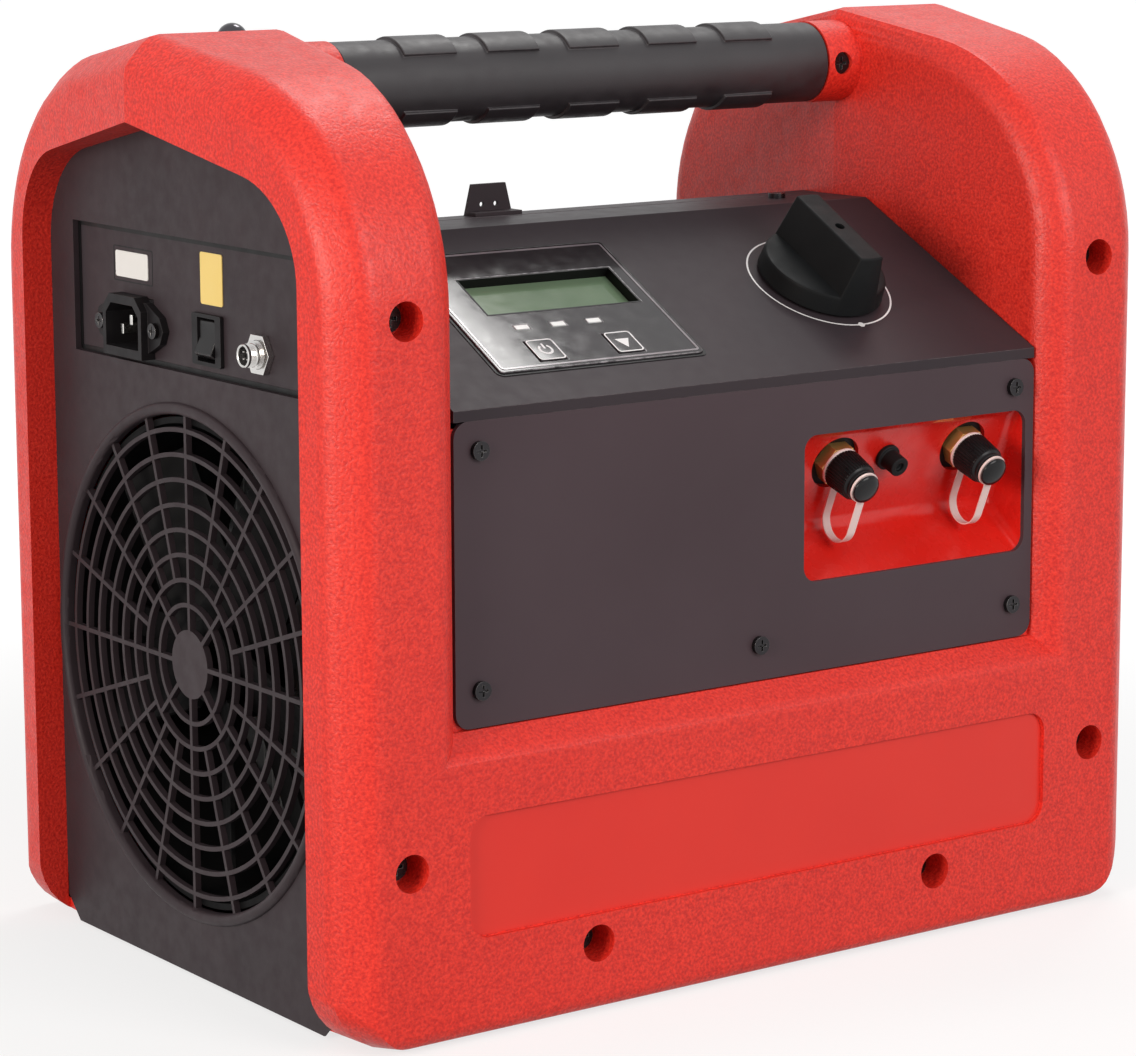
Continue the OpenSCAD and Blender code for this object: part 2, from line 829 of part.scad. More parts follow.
module hose_tab() color(black) {
    tab_x = -40;
    tab_w = 22;
    tab_h = 12;
    translate([tab_x, crest_y - sheet, crest_z]) rotate([90, 0, 0]) mirror([0, 0, 1]) linear_extrude(1.5)
        difference() {
        polygon([[0, 0], [tab_w, 0], [tab_w - 3, tab_h], [3, tab_h]]);
        for (k = [0.35, 0.65]) translate([tab_w * k, 4]) circle(d = 2);
    }
    translate([tab_x, crest_y - sheet - 7, crest_z]) cube([tab_w, 7.5, 1.5]);
}

// Outline of the pan, which steps in beside the shells' rounded corners
module pan_face(t) {
    square([2 * (panel_in - t), 2 * (pan_end - t)], center = true);
    square([2 * (panel_in - pan_notch - t), 2 * (pan_core - t)], center = true);
    square([2 * (pan_narrow - t), 2 * (pan_half_dep - t)], center = true);
}

module base_pan() color(black) {
    flange_h = 8;
    difference() {
        translate([0, 0, floor_z]) linear_extrude(sheet + flange_h) pan_face(0);
        translate([0, 0, pan_z]) linear_extrude(flange_h + past) pan_face(sheet);
        both_faces() foot_places() translate([0, 0, floor_z - past])
            cylinder(d = foot_plug_d + 2 * seat_fit, h = sheet + 2 * past);
    }
}

module foot_places() {
    both_ends() translate([arch_half + 9, -(half_dep - floor_lip / 2 - 4), 0]) children();
}

module feet() color(black) both_faces() foot_places() {
    cylinder(d = foot_d, h = foot_proud);
    cylinder(d = foot_plug_d, h = pan_z + 1);
}

module handle_tube() color(steel) difference() {
    rod_x(-tube_half, tube_half, tube_d, 0, handle_z);
    rod_x(-tube_half - past, tube_half + past, tube_d - 4, 0, handle_z);
}

module handle_grip() color(charcoal) {
    pad_pitch = 38;
    pad_len = 24;
    pad_count = floor((grip_len - pad_len - 8) / pad_pitch / 2);
    difference() {
        union() {
            rod_x(-grip_len / 2, grip_len / 2, grip_d, 0, handle_z);
            for (k = [-pad_count:pad_count], a = [40, 220])
                translate([k * pad_pitch - pad_len / 2, 0, handle_z]) rotate([0, 90, 0])
                    rotate([0, 0, a + 90])
                    rotate_extrude(angle = 100) translate([tube_d / 2 + 1, 0])
                        square([grip_d / 2 + pad_h - tube_d / 2 - 1, pad_len]);
        }
        rod_x(-grip_len / 2 - past, grip_len / 2 + past, tube_d, 0, handle_z);
    }
}

module shell_screws() color(black) {
    both_faces() for (p = shell_screws_at)
        on_front(p[0], p[1], recess_depth) cross_head_screw(10, 3.2, screw_shank_d, 11);
    both_ends() handle_screw_place() translate([0, 0, -4]) cross_head_screw(8.4, 2.4, 3, 0.5);
}

module plate_screws() color(black) {
    both_faces() for (p = plate_screws_at)
        translate([p[0] * (plate_half - plate_screw_in), -plate_y, p[1]]) rotate([90, 0, 0])
            cross_head_screw(7, 2, 3, sheet + ledge_t);
    both_ends() translate([crest_screw_x, 0, crest_z]) cross_head_screw(7, 2, 3, sheet);
}

module arch_screw() color(steel) {
    dome_d = 11;
    dome_h = 4;
    dome_r = (dome_d * dome_d / 4 + dome_h * dome_h) / (2 * dome_h);
    screw_y = 8;
    translate([arch_screw_in - half_len, screw_y, body_h - screw_y * tan(roof_pitch)])
        rotate([-roof_pitch, 0, 0])
        intersection() {
            translate([0, 0, dome_h - dome_r]) sphere(r = dome_r);
            cylinder(d = 2 * dome_d, h = 2 * dome_h);
        }
}

module port_housing() color(red) {
    back = port_wall / cos(port_tilt);
    heel_z = crease_z - port_wall * 0.3;
    difference() {
        along_x(port_left - port_wall, port_right + port_wall) polygon([
            [-plate_back, port_low - port_wall], [-plate_back, port_high + port_wall],
            [-port_top_y - port_wall * tan(port_tilt) + back, port_high + port_wall],
            [-port_top_y + (port_high - heel_z) * tan(port_tilt) + back, heel_z],
            [-plate_back + 2 * port_wall, port_low - port_wall]
        ]);
        along_x(port_left, port_right) polygon([
            [-plate_back - past, port_low], [-plate_back - past, port_high], [-port_top_y, port_high],
            [-crease_y, crease_z], [-plate_back, port_low]
        ]);
        for (x = [inlet_x, outlet_x]) on_port(x) translate([0, 0, -3 * port_wall])
            cylinder(d = port_hole_d, h = 6 * port_wall);
        on_port(vent_x) translate([0, 0, -3 * port_wall]) cylinder(d = 7 + 2 * seat_fit, h = 6 * port_wall);
    }
}

module port_bracket() color(steel) difference() {
    on_port(0) translate([inlet_x - bracket_over, -bracket_low, -port_wall - bracket_t])
        cube([outlet_x - inlet_x + 2 * bracket_over, bracket_w, bracket_t]);
    for (x = [inlet_x, outlet_x]) on_port(x) translate([0, 0, -5 * port_wall])
        cylinder(d = port_d + 1 + 2 * seat_fit, h = 5 * port_wall);
}

module fitting(x) color(brass) on_port(x) {
    translate([0, 0, -port_wall]) cylinder(d = hex_af / cos(30), h = port_wall + hex_top, $fn = 6);
    translate([0, 0, -port_wall - bracket_t - 14]) cylinder(d = port_d + 1, h = bracket_t + 14);
    difference() {
        union() {
            translate([0, 0, hex_top]) cylinder(d = port_d, h = thread_len);
            translate([0, 0, hex_top + thread_len]) cylinder(d1 = port_d, d2 = port_d - 3, h = 1);
        }
        translate([0, 0, hex_top + 2]) cylinder(d = 5, h = thread_len);
    }
}

module inlet_fitting() fitting(inlet_x);

module outlet_fitting() fitting(outlet_x);

// Neck ring with the strap that loops down to the cap's ring
module tether(x) color("#e6dcd8") on_port(x) {
    neck_r = cap_d / 2 - 0.1;
    ring_mid = cap_neck + seat_fit * 2 + cap_ring_t / 2;
    neck_mid = hex_top + seat_fit / 2 + (ring_t - seat_fit) / 2;
    loop_r = (ring_mid - neck_mid) / 2;
    loop_y = -neck_r - strap_leg;
    difference() {
        union() {
            translate([0, 0, hex_top + seat_fit / 2]) cylinder(r = neck_r, h = ring_t - seat_fit);
            translate([-strap_w / 2, loop_y, neck_mid - strap_t / 2])
                cube([strap_w, strap_leg + 2, strap_t]);
        }
        translate([0, 0, hex_top - past]) cylinder(d = port_d + 2 * seat_fit, h = ring_t + 2 * past);
    }
    translate([-strap_w / 2, loop_y, ring_mid - strap_t / 2])
        cube([strap_w, strap_leg + neck_r - cap_end_d / 2 - seat_fit, strap_t]);
    translate([-strap_w / 2, loop_y, (neck_mid + ring_mid) / 2]) rotate([0, 90, 0])
        rotate([0, 0, 180]) rotate_extrude(angle = 180) translate([loop_r - strap_t / 2, 0])
            square([strap_t, strap_w]);
}

module inlet_tether() tether(inlet_x);

module outlet_tether() tether(outlet_x);

module cap_ring(x) color("#e6dcd8") on_port(x) translate([0, 0, cap_neck + seat_fit * 2]) difference() {
    cylinder(d = cap_end_d, h = cap_ring_t);
    translate([0, 0, -past]) cylinder(d = cap_groove_d + 2 * loose_fit, h = cap_ring_t + 2 * past);
}

module inlet_cap_ring() cap_ring(inlet_x);

module outlet_cap_ring() cap_ring(outlet_x);

module cap(x) color(black) on_port(x) {
    dome_h = 2;
    dome_d = cap_end_d - 1;
    dome_r = (dome_d * dome_d / 4 + dome_h * dome_h) / (2 * dome_h);
    difference() {
        translate([0, 0, cap_base]) cylinder(d1 = cap_d, d2 = cap_end_d, h = cap_len);
        translate([0, 0, cap_base - past])
            cylinder(d = port_d + 2 * running_fit, h = thread_len + 1.6 - ring_t - loose_fit + past);
    }
    translate([0, 0, cap_neck]) cylinder(d = cap_groove_d, h = cap_tip - cap_neck);
    intersection() {
        translate([0, 0, cap_tip + dome_h - dome_r]) sphere(r = dome_r);
        translate([0, 0, cap_tip]) cylinder(d = 2 * dome_d, h = 2 * dome_h);
    }
}

module inlet_cap() cap(inlet_x);

module outlet_cap() cap(outlet_x);

module vent_nipple() color(black) on_port(vent_x) difference() {
    union() {
        translate([0, 0, -port_wall]) cylinder(d = 7, h = port_wall);
        cylinder(d = 10.5, h = 2);
        cylinder(d = 8, h = 9);
    }
    translate([0, 0, 7.5]) cylinder(d = 3.6, h = 3);
}

module display_overlay() color(black) difference() {
    on_deck(overlay_x + overlay_w / 2, overlay_s + overlay_len / 2) linear_extrude(overlay_t)
        rounded(overlay_w, overlay_len, 2);
    on_deck(lcd_x, lcd_s) cube([lcd_w, lcd_h, 4 * overlay_t], center = true);
    for (x = lamp_xs) on_deck(x, lamp_s) cube([lamp_size[0], lamp_size[1], 4 * overlay_t], center = true);
    for (x = [power_x, scroll_x]) on_deck(x, key_s)
        cube([key_w, key_w + 0.6, 4 * overlay_t], center = true);
}

module display_module() color("#7f9a7a")
    on_deck(lcd_x - lcd_w / 2 + 2 * seat_fit, lcd_s - lcd_h / 2 + 2 * seat_fit, board_h + board_t)
        cube([lcd_w - 4 * seat_fit, lcd_h - 4 * seat_fit, -lcd_drop - board_h - board_t]);

module indicator_lamps() color("#d8dcd6") for (x = lamp_xs)
    on_deck(x - lamp_size[0] / 2 + 2 * seat_fit, lamp_s - lamp_size[1] / 2 + 2 * seat_fit, board_h + board_t)
        cube([
            lamp_size[0] - 4 * seat_fit, lamp_size[1] - 4 * seat_fit, overlay_t * 1.05 - board_h - board_t
        ]);

module key(x) color(black) on_deck(x - key_w / 2 + loose_fit, key_s - key_w / 2 - 0.3 + loose_fit, -0.8)
    cube([key_w - 2 * loose_fit, key_w + 0.6 - 2 * loose_fit, overlay_t + 1.2]);

module power_key() key(power_x);

module scroll_key() key(scroll_x);

// Circuit board on its posts, with the two key switches
module control_board() color("#2f5d3a") {
    on_deck(overlay_x, overlay_s, board_h) cube([overlay_w, overlay_len, board_t]);
    for (x = [overlay_x + post_d / 2, overlay_x + overlay_w - post_d / 2],
         s = [overlay_s + post_d / 2, overlay_s + overlay_len - post_d / 2])
        on_deck(x, s, board_h + board_t) cylinder(d = post_d, h = -board_h - board_t - sheet);
    for (x = [power_x, scroll_x])
        on_deck(x - 3, key_s - 3, board_h + board_t)
            cube([6, 6, -board_h - board_t - 0.8 - key_travel - loose_fit]);
}

module selector_knob() color(black) on_deck(knob_x, knob_s) difference() {
    union() {
        translate([0, 0, knob_gap]) cylinder(d1 = knob_d, d2 = knob_d - 3, h = knob_disc_h - knob_gap);
        hull() {
            translate([-9, -knob_d / 2 + 1, knob_disc_h - 1]) cube([18, knob_d - 2, 0.1]);
            translate([-5.5, -knob_d / 2 + 1.6, knob_h - 0.1]) cube([11, knob_d - 3.2, 0.1]);
        }
    }
    translate([0, 0, knob_gap - past]) cylinder(d = stem_d, h = knob_h - 8 - knob_gap + past);
    translate([0, 0, knob_h - 5]) cylinder(d = 4, h = 6);
}

module valve_stem() color(steel) on_deck(knob_x, knob_s, stem_low)
    cylinder(d = stem_d, h = knob_h - 8 - stem_low);

module valve_body() color(brass) on_deck(knob_x, knob_s) difference() {
    translate([-valve_size[0] / 2, -valve_size[1] / 2, -sheet - valve_size[2]]) cube(valve_size);
    translate([0, 0, stem_low - 1]) cylinder(d = stem_d + 2 * running_fit, h = -stem_low + 1);
}

// Outline of the mains inlet with its upper corners cut
module inlet_outline(w, h, cut) {
    polygon([
        [-w / 2, -h / 2], [w / 2, -h / 2], [w / 2, h / 2 - cut],
        [w / 2 - cut, h / 2], [cut - w / 2, h / 2], [-w / 2, h / 2 - cut]
    ]);
}

module mains_inlet() color(black) on_inlet(mains_at) difference() {
    ear = mains_screw_x + 5.5;
    union() {
        linear_extrude(mains_flange_t) polygon([
            [-mains_plug[0] / 2, -mains_plug[1] / 2 + 1], [mains_plug[0] / 2, -mains_plug[1] / 2 + 1],
            [ear - 2.5, -5], [ear, 0], [ear - 2.5, 5],
            [mains_plug[0] / 2, mains_plug[1] / 2 - 1], [-mains_plug[0] / 2, mains_plug[1] / 2 - 1],
            [2.5 - ear, 5], [-ear, 0], [2.5 - ear, -5]
        ]);
        linear_extrude(mains_proud) inlet_outline(mains_body[0], mains_body[1], 5);
        translate([0, 0, -mains_deep]) linear_extrude(mains_deep) square(mains_plug, center = true);
    }
    translate([0, 0, 4 - mains_deep]) linear_extrude(mains_deep + mains_proud)
        inlet_outline(mains_cavity[0], mains_cavity[1], 4);
    for (m = [-1, 1]) translate([mains_screw_x * m, 0, -past]) cylinder(d = 3.4, h = mains_proud);
}

module inlet_pins() color(steel) on_inlet(mains_at) for (p = [[-7, -2], [0, 2], [7, -2]])
    translate([p[0] - 1, p[1] - 2, 4 - mains_deep]) cube([2, 4, mains_deep - 2]);

module inlet_screws() color(black) on_inlet(mains_at) for (m = [-1, 1])
    translate([mains_screw_x * m, 0, mains_flange_t]) cross_head_screw(6, 1.8, 3, 3);

module rating_label() color("white") on_inlet(rating_at) linear_extrude(label_t)
    rounded(rating_size[0], rating_size[1], 1);

module caution_label() color("#f0c04a") on_inlet(caution_at) linear_extrude(label_t)
    rounded(caution_size[0], caution_size[1], 1);

module breaker_body() color(black) on_inlet(breaker_at) difference() {
    union() {
        linear_extrude(1.6) rounded(20.5, 19, 1);
        translate([-9, -8.2, -20]) cube([18, 16.4, 20]);
    }
    translate([-rocker_w / 2 - loose_fit, -rocker_r - 0.6 + 0.15, rocker_z - rocker_r - 0.8])
        cube([rocker_w + 2 * loose_fit, 2 * rocker_r + 0.9, 20]);
    translate([-rocker_w / 2 - 2, 0, rocker_z]) rotate([0, 90, 0])
        cylinder(d = 3 + 2 * running_fit, h = rocker_w + 4);
}

module breaker_rocker() color(black) on_inlet(breaker_at) translate([0, 0, rocker_z])
    rotate([-rocker_tilt, 0, 0]) {
    difference() {
        translate([-rocker_w / 2, 0, 0]) rotate([0, 90, 0]) cylinder(r = rocker_r, h = rocker_w);
        translate([-rocker_w, 0, 0]) rotate([90, 0, 90]) linear_extrude(2 * rocker_w) polygon([
            [0, 3.4], [2 * rocker_r, 3.4 + 2 * rocker_r * tan(rocker_tilt)], [2 * rocker_r, 3 * rocker_r],
            [-2 * rocker_r, 3 * rocker_r], [-2 * rocker_r, 3.4 + 2 * rocker_r * tan(rocker_tilt)]
        ]);
    }
    translate([-rocker_w / 2 - 1.6, 0, 0]) rotate([0, 90, 0]) cylinder(d = 3, h = rocker_w + 3.2);
}

module signal_connector() color(steel) on_inlet(signal_at) difference() {
    union() {
        translate([0, 0, -signal_deep]) cylinder(d = signal_shank_d, h = signal_deep + signal_step);
        translate([0, 0, signal_step]) cylinder(d = signal_d, h = signal_len);
        translate([0, 0, -sheet - 3]) cylinder(d = signal_nut_af, h = 3);
    }
    translate([0, 0, signal_nut_h]) cylinder(d = signal_bore_d, h = signal_step + signal_len);
}

module connector_nut() color(steel) on_inlet(signal_at) difference() {
    cylinder(d = signal_nut_af / cos(30), h = signal_nut_h, $fn = 6);
    translate([0, 0, -past]) cylinder(d = signal_shank_d + 2 * running_fit, h = signal_nut_h + 2 * past);
}

// Duct from the grille to the condenser with three arms that carry the fan motor
module fan_shroud() color(black) translate([-panel_in, 0, grille_z]) rotate([0, 90, 0]) {
    difference() {
        cylinder(r = shroud_r + 2.5, h = duct_len);
        translate([0, 0, -past]) cylinder(r = shroud_r, h = duct_len + 2 * past);
    }
    for (a = [90, 210, 330])
        rotate([0, 0, a]) translate([fan_motor_d / 2 - 3, -6, shroud_len - 3])
            cube([shroud_r - fan_motor_d / 2 + 4, 12, 2]);
    translate([0, 0, shroud_len - 3.5]) difference() {
        cylinder(d = fan_motor_d + 6, h = 3.5);
        translate([0, 0, -past]) cylinder(d = fan_shaft_d + 4, h = 6);
    }
}

module fan_motor() color(steel) translate([-panel_in + shroud_len, 0, grille_z]) rotate([0, 90, 0])
    difference() {
    cylinder(d = fan_motor_d, h = fan_motor_len);
    translate([0, 0, -past]) cylinder(d = fan_shaft_d + 2 * running_fit, h = fan_motor_len - 4 + past);
}

// Blades, hub and shaft, which turn together
module fan_impeller() color(charcoal) translate([-panel_in, 0, grille_z]) rotate([0, 90, 0]) {
    blade_pitch = 26;
    translate([0, 0, hub_gap]) cylinder(r = hub_r, h = hub_len);
    translate([0, 0, hub_gap + hub_len])
        cylinder(d = fan_shaft_d, h = shroud_len + fan_motor_len - 6 - hub_gap - hub_len);
    intersection() {
        translate([0, 0, hub_gap]) cylinder(r = blade_r, h = hub_len);
        for (k = [0:blade_count - 1])
            rotate([0, 0, k * 360 / blade_count]) translate([hub_r - 3, 0, hub_gap + hub_len / 2])
                rotate([blade_pitch, 0, 0])
                translate([0, -17, -1]) cube([blade_r, 34, 2]);
    }
}

// Fins on the condenser tube, between two end plates that stand on the pan
module condenser_core() color(alloy) {
    fin_pitch = (2 * core_half - plate_foot) / fin_count;
    for (k = [0:fin_count]) {
        thick = k == 0 || k == fin_count ? plate_foot : fin_t;
        low = k == 0 || k == fin_count ? pan_z : core_low;
        translate([0, k * fin_pitch - core_half + (k == fin_count ? 0 : plate_foot / 2 - thick / 2), 0])
            rotate([90, 0, 0]) mirror([0, 0, 1]) linear_extrude(thick) difference() {
                translate([core_x, low]) square([core_t, core_low + core_h - low]);
                for (j = [0:pass_count - 1]) translate([core_x + core_t / 2, pass_z(j)])
                    circle(d = coil_d + 2 * seat_fit);
            }
    }
}

module condenser_rows() {
    for (k = [0:pass_count - 1])
        translate([core_x + core_t / 2, 0, pass_z(k)]) children();
}

module condenser_tube() color(copper) {
    condenser_rows() translate([0, -core_half - 1, 0]) rotate([-90, 0, 0])
        cylinder(d = coil_d, h = 2 * core_half + 2);
    for (k = [0:pass_count - 2]) {
        side = k % 2 == 0 ? 1 : -1;
        translate([core_x + core_t / 2, side * (core_half + 1), pass_z(k + 0.5)])
            rotate([0, 90, 0]) rotate([0, 0, side > 0 ? 0 : 180]) rotate_extrude(angle = 180)
                translate([pass_pitch / 2, 0]) circle(d = coil_d);
    }
}

module crank_axis(x) {
    translate([x, crank_y, crank_z]) rotate([0, 90, 0]) children();
}

// Motor housing with the stator ring fixed inside it
module motor_housing() color(alloy) crank_axis(motor_x) difference() {
    cylinder(d = motor_d, h = motor_len);
    translate([0, 0, 4]) cylinder(r = rotor_r + rotor_gap, h = motor_len);
    translate([0, 0, -past]) cylinder(d = crank_d + 2 * running_fit, h = motor_len);
}

// Shaft with the rotor core, two webs and the crank pin between them
module crankshaft() color(steel) {
    web_t = 7;
    pin_len = 16;
    crank_axis(motor_x + 1) cylinder(d = crank_d, h = throw_x - pin_len / 2 - motor_x - 1);
    crank_axis(throw_x + pin_len / 2) cylinder(d = crank_d, h = case_len / 2 - pin_len / 2 - 1);
    crank_axis(motor_x + 14) cylinder(r = rotor_r, h = motor_len - 28);
    for (x = [throw_x - pin_len / 2 - web_t, throw_x + pin_len / 2]) crank_axis(x)
        cylinder(r = crank_throw + crank_d / 2 + 2, h = web_t);
    translate([0, 0, crank_throw]) crank_axis(throw_x - pin_len / 2) cylinder(d = crank_d, h = pin_len);
}

module crankcase() color(alloy) difference() {
    translate([case_x, crank_y - case_half, crank_z - case_half - 3])
        cube([case_len, 2 * case_half, 2 * case_half + 6]);
    crank_axis(case_x + case_wall) cylinder(r = case_r, h = case_len - 2 * case_wall);
    crank_axis(case_x - past) cylinder(d = crank_d + 2 * running_fit, h = case_len + 2 * past);
    translate([throw_x, crank_y, crank_z]) cylinder(d = bore_d, h = case_half * 2);
}

// Finned cylinder with its head
module cylinder_head() color(alloy) translate([throw_x, crank_y, case_top]) difference() {
    union() {
        cylinder(d = bore_d + 18, h = cylinder_h);
        for (k = [1:4]) translate([0, 0, k * cylinder_h / 5 - 1.5]) cylinder(d = bore_d + 30, h = 3);
        translate([-head_size[0] / 2, -head_size[1] / 2, cylinder_h]) cube(head_size);
    }
    translate([0, 0, -past]) cylinder(d = bore_d, h = cylinder_h + past);
}

// Cradle under the motor and the crankcase
module compressor_base() color(black) difference() {
    union() {
        translate([motor_x + base_in, crank_y - base_half, base_z])
            cube([motor_len + case_len - 2 * base_in, 2 * base_half, base_t]);
        for (x = [motor_x + 10, case_x - 22])
            translate([x, crank_y - 30, base_z]) cube([10, 60, crank_z - motor_d / 2 + 10 - base_z]);
        translate([case_x + 2, crank_y - 30, base_z])
            cube([case_len - 10, 60, crank_z - case_half - 3 - base_z]);
    }
    crank_axis(motor_x - past) cylinder(d = motor_d, h = motor_len + past);
}

module isolators() color(charcoal)
    for (x = [motor_x + isolator_in, case_x + case_len - isolator_in], y = [-isolator_y, isolator_y])
    translate([x, crank_y + y, pan_z]) cylinder(d = isolator_d, h = base_z - pan_z);

module run_capacitor() color(steel)
    translate([capacitor_x, pan_half_dep - sheet - capacitor_d / 2, pan_z]) {
    cylinder(d = capacitor_d, h = capacitor_h);
    for (m = [-1, 1]) translate([m * tag_gap - tag_size[0] / 2, -tag_size[1] / 2, capacitor_h])
        cube(tag_size);
}

module pressure_switch() color(brass) translate([throw_x - 22, crank_y + 22, head_z + head_size[2]]) {
    cylinder(d = 14 / cos(30), h = 6, $fn = 6);
    translate([0, 0, 6]) cylinder(d = 18, h = 14);
}

// Pipes from the ports to the valve, from the valve to the head and from the head to the condenser
module gas_pipes() color(copper) {
    tail = port_wall + bracket_t + 14;
    run = 28;
    difference() {
        on_port(inlet_x) translate([0, 0, -tail - 2 * run]) cylinder(d = pipe_d, h = 2 * run);
        on_deck(0, knob_s - valve_size[1] / 2, -body_h) cube([body_len, body_dep, 2 * body_h]);
    }
    on_port(outlet_x) translate([0, 0, -tail - run]) cylinder(d = pipe_d, h = run);
    on_port(outlet_x) translate([0, 0, -tail - run]) sphere(d = pipe_d);
    on_port(knob_x + valve_size[0] / 2) translate([0, 0, -tail - run]) rotate([0, 90, 0])
        cylinder(d = pipe_d, h = outlet_x - knob_x - valve_size[0] / 2);
    difference() {
        on_deck(knob_x, knob_s, -sheet - valve_size[2] - 60) cylinder(d = pipe_d, h = 60);
        translate([throw_x - head_size[0], crank_y - head_size[1] / 2, 0])
            cube([2 * head_size[0], body_dep, body_h]);
    }
    rod_x(core_x + core_t, throw_x - head_size[0] / 2, pipe_d, crank_y, head_z + head_size[2] / 2);
}

front_shell();
rear_shell();
left_side_panel();
right_side_panel();
inlet_plate();
front_plate();
rear_plate();
control_panel();
rear_cover();
hose_tab();
base_pan();
feet();
handle_tube();
handle_grip();
shell_screws();
plate_screws();
arch_screw();
port_housing();
port_bracket();
inlet_fitting();
outlet_fitting();
inlet_tether();
outlet_tether();
inlet_cap_ring();
outlet_cap_ring();
inlet_cap();
outlet_cap();
vent_nipple();
display_overlay();
display_module();
indicator_lamps();
power_key();
scroll_key();
control_board();
selector_knob();
valve_stem();
valve_body();
mains_inlet();
inlet_pins();
inlet_screws();
rating_label();
caution_label();
breaker_body();
breaker_rocker();
signal_connector();
connector_nut();
fan_shroud();
fan_motor();
fan_impeller();
condenser_core();
condenser_tube();
motor_housing();
crankshaft();
crankcase();
cylinder_head();
compressor_base();
isolators();
run_capacitor();
pressure_switch();
gas_pipes();
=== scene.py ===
"""Looks of a portable refrigerant recovery machine, built around its packed construction.

Every size is in millimetres until a mesh is placed, and in metres from then on. The front of the
machine looks towards -Y and its fan grille towards -X.
"""

from __future__ import annotations

import json
import logging
import math
from dataclasses import dataclass, field
from enum import Enum
from typing import Iterable, Optional

import bmesh
import bpy
from mathutils import Matrix, Vector

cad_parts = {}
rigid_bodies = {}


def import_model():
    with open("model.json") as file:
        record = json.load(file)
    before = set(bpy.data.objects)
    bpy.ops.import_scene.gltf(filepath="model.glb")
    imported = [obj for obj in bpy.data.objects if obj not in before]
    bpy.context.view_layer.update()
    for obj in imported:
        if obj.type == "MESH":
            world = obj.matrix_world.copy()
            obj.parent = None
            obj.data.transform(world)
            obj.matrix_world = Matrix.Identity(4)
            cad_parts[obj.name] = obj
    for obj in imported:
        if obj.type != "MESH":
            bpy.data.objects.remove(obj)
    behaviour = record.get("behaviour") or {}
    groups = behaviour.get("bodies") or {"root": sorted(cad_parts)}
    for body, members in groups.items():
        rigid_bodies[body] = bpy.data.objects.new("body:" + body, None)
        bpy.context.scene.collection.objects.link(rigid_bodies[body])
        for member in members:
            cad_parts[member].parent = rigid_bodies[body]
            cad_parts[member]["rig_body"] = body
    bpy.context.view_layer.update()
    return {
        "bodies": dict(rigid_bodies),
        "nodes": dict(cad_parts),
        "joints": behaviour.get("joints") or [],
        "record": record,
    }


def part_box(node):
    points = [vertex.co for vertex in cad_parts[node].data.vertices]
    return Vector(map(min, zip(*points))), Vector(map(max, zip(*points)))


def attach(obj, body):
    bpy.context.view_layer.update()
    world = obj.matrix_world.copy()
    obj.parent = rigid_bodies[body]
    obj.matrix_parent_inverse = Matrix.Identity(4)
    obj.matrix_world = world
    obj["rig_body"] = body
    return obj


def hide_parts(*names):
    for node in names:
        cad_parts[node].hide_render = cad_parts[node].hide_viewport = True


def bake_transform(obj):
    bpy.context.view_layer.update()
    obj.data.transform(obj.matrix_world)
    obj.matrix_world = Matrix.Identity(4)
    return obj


LOG = logging.getLogger("recovery_machine")
Colour = tuple[int, int, int]
Point = tuple[float, float, float]
Profile = tuple[tuple[float, float], ...]

MM = 0.001
WHITE = (1.0, 1.0, 1.0, 1.0)

# Angles in degrees: of an edge that gets rounded, of one that shades sharp, and of faces that count as one
SHARP_ANGLE = 28.0
SMOOTH_ANGLE = 38.0
FLAT_ANGLE = 0.4

# How close points are joined, in millimetres, on a construction node and on a turned shape
NODE_WELD = 0.002
TURNED_WELD = 0.0005

# The values between which nearly all of a noise lies
NOISE_SPAN = (0.3, 0.7)

# Sizes in millimetres and details of the noises that all finishes share
DRIFT_DETAIL = 4.0
RUB_PITCH, RUB_DETAIL = 3.0, 5.0
GLOSS_PITCH, GLOSS_DETAIL = 6.0, 6.0
SOFT_DETAIL, FINE_DETAIL = 1.0, 3.0

# Roughness of a clear coat, and the least of any finish
COAT_ROUGHNESS = 0.08
LEAST_ROUGHNESS = 0.02

# The coarse swell under a grained or cast skin, as multiples of its fine relief
SWELL_PITCH, SWELL_RELIEF, SWELL_DEPTH = 3, 0.2, 1.5
CAST_FINE_DEPTH = 0.5

# Where the sloped panel, the ports and the inlet plate sit on the machine
DECK_SLOPE = 28.4
DECK_FRONT_Y, DECK_FRONT_Z = -116.0, 227.0
PORT_AXIS: Point = (0.0, -0.9205, -0.3907)
PORT_UP: Point = (0.0, -0.3907, 0.9205)
PORT_Y, PORT_Z = -103.757, 189.0
INLET_PORT_X, OUTLET_PORT_X = 46.5, 111.0
INLET_FACE_X = -175.5


class Surface(Enum):
    """How the skin of a material is worked."""

    GRAIN = "moulded leather grain"
    PEBBLE = "powder coat or fine moulded texture"
    BRUSHED = "drawn or turned lines"
    CAST = "sand cast skin"
    SMOOTH = "plain gloss or satin"


def linear(colour: Colour) -> tuple[float, float, float, float]:
    """Turns an 8 bit screen colour into the linear colour that a shader takes.

    Args:
        colour: Red, green and blue from 0 to 255.

    Returns:
        Linear red, green and blue with an alpha of one.
    """
    parts = []
    for value in colour:
        share = value / 255
        parts.append(share / 12.92 if share <= 0.04045 else ((share + 0.055) / 1.055) ** 2.4)
    return (parts[0], parts[1], parts[2], 1.0)


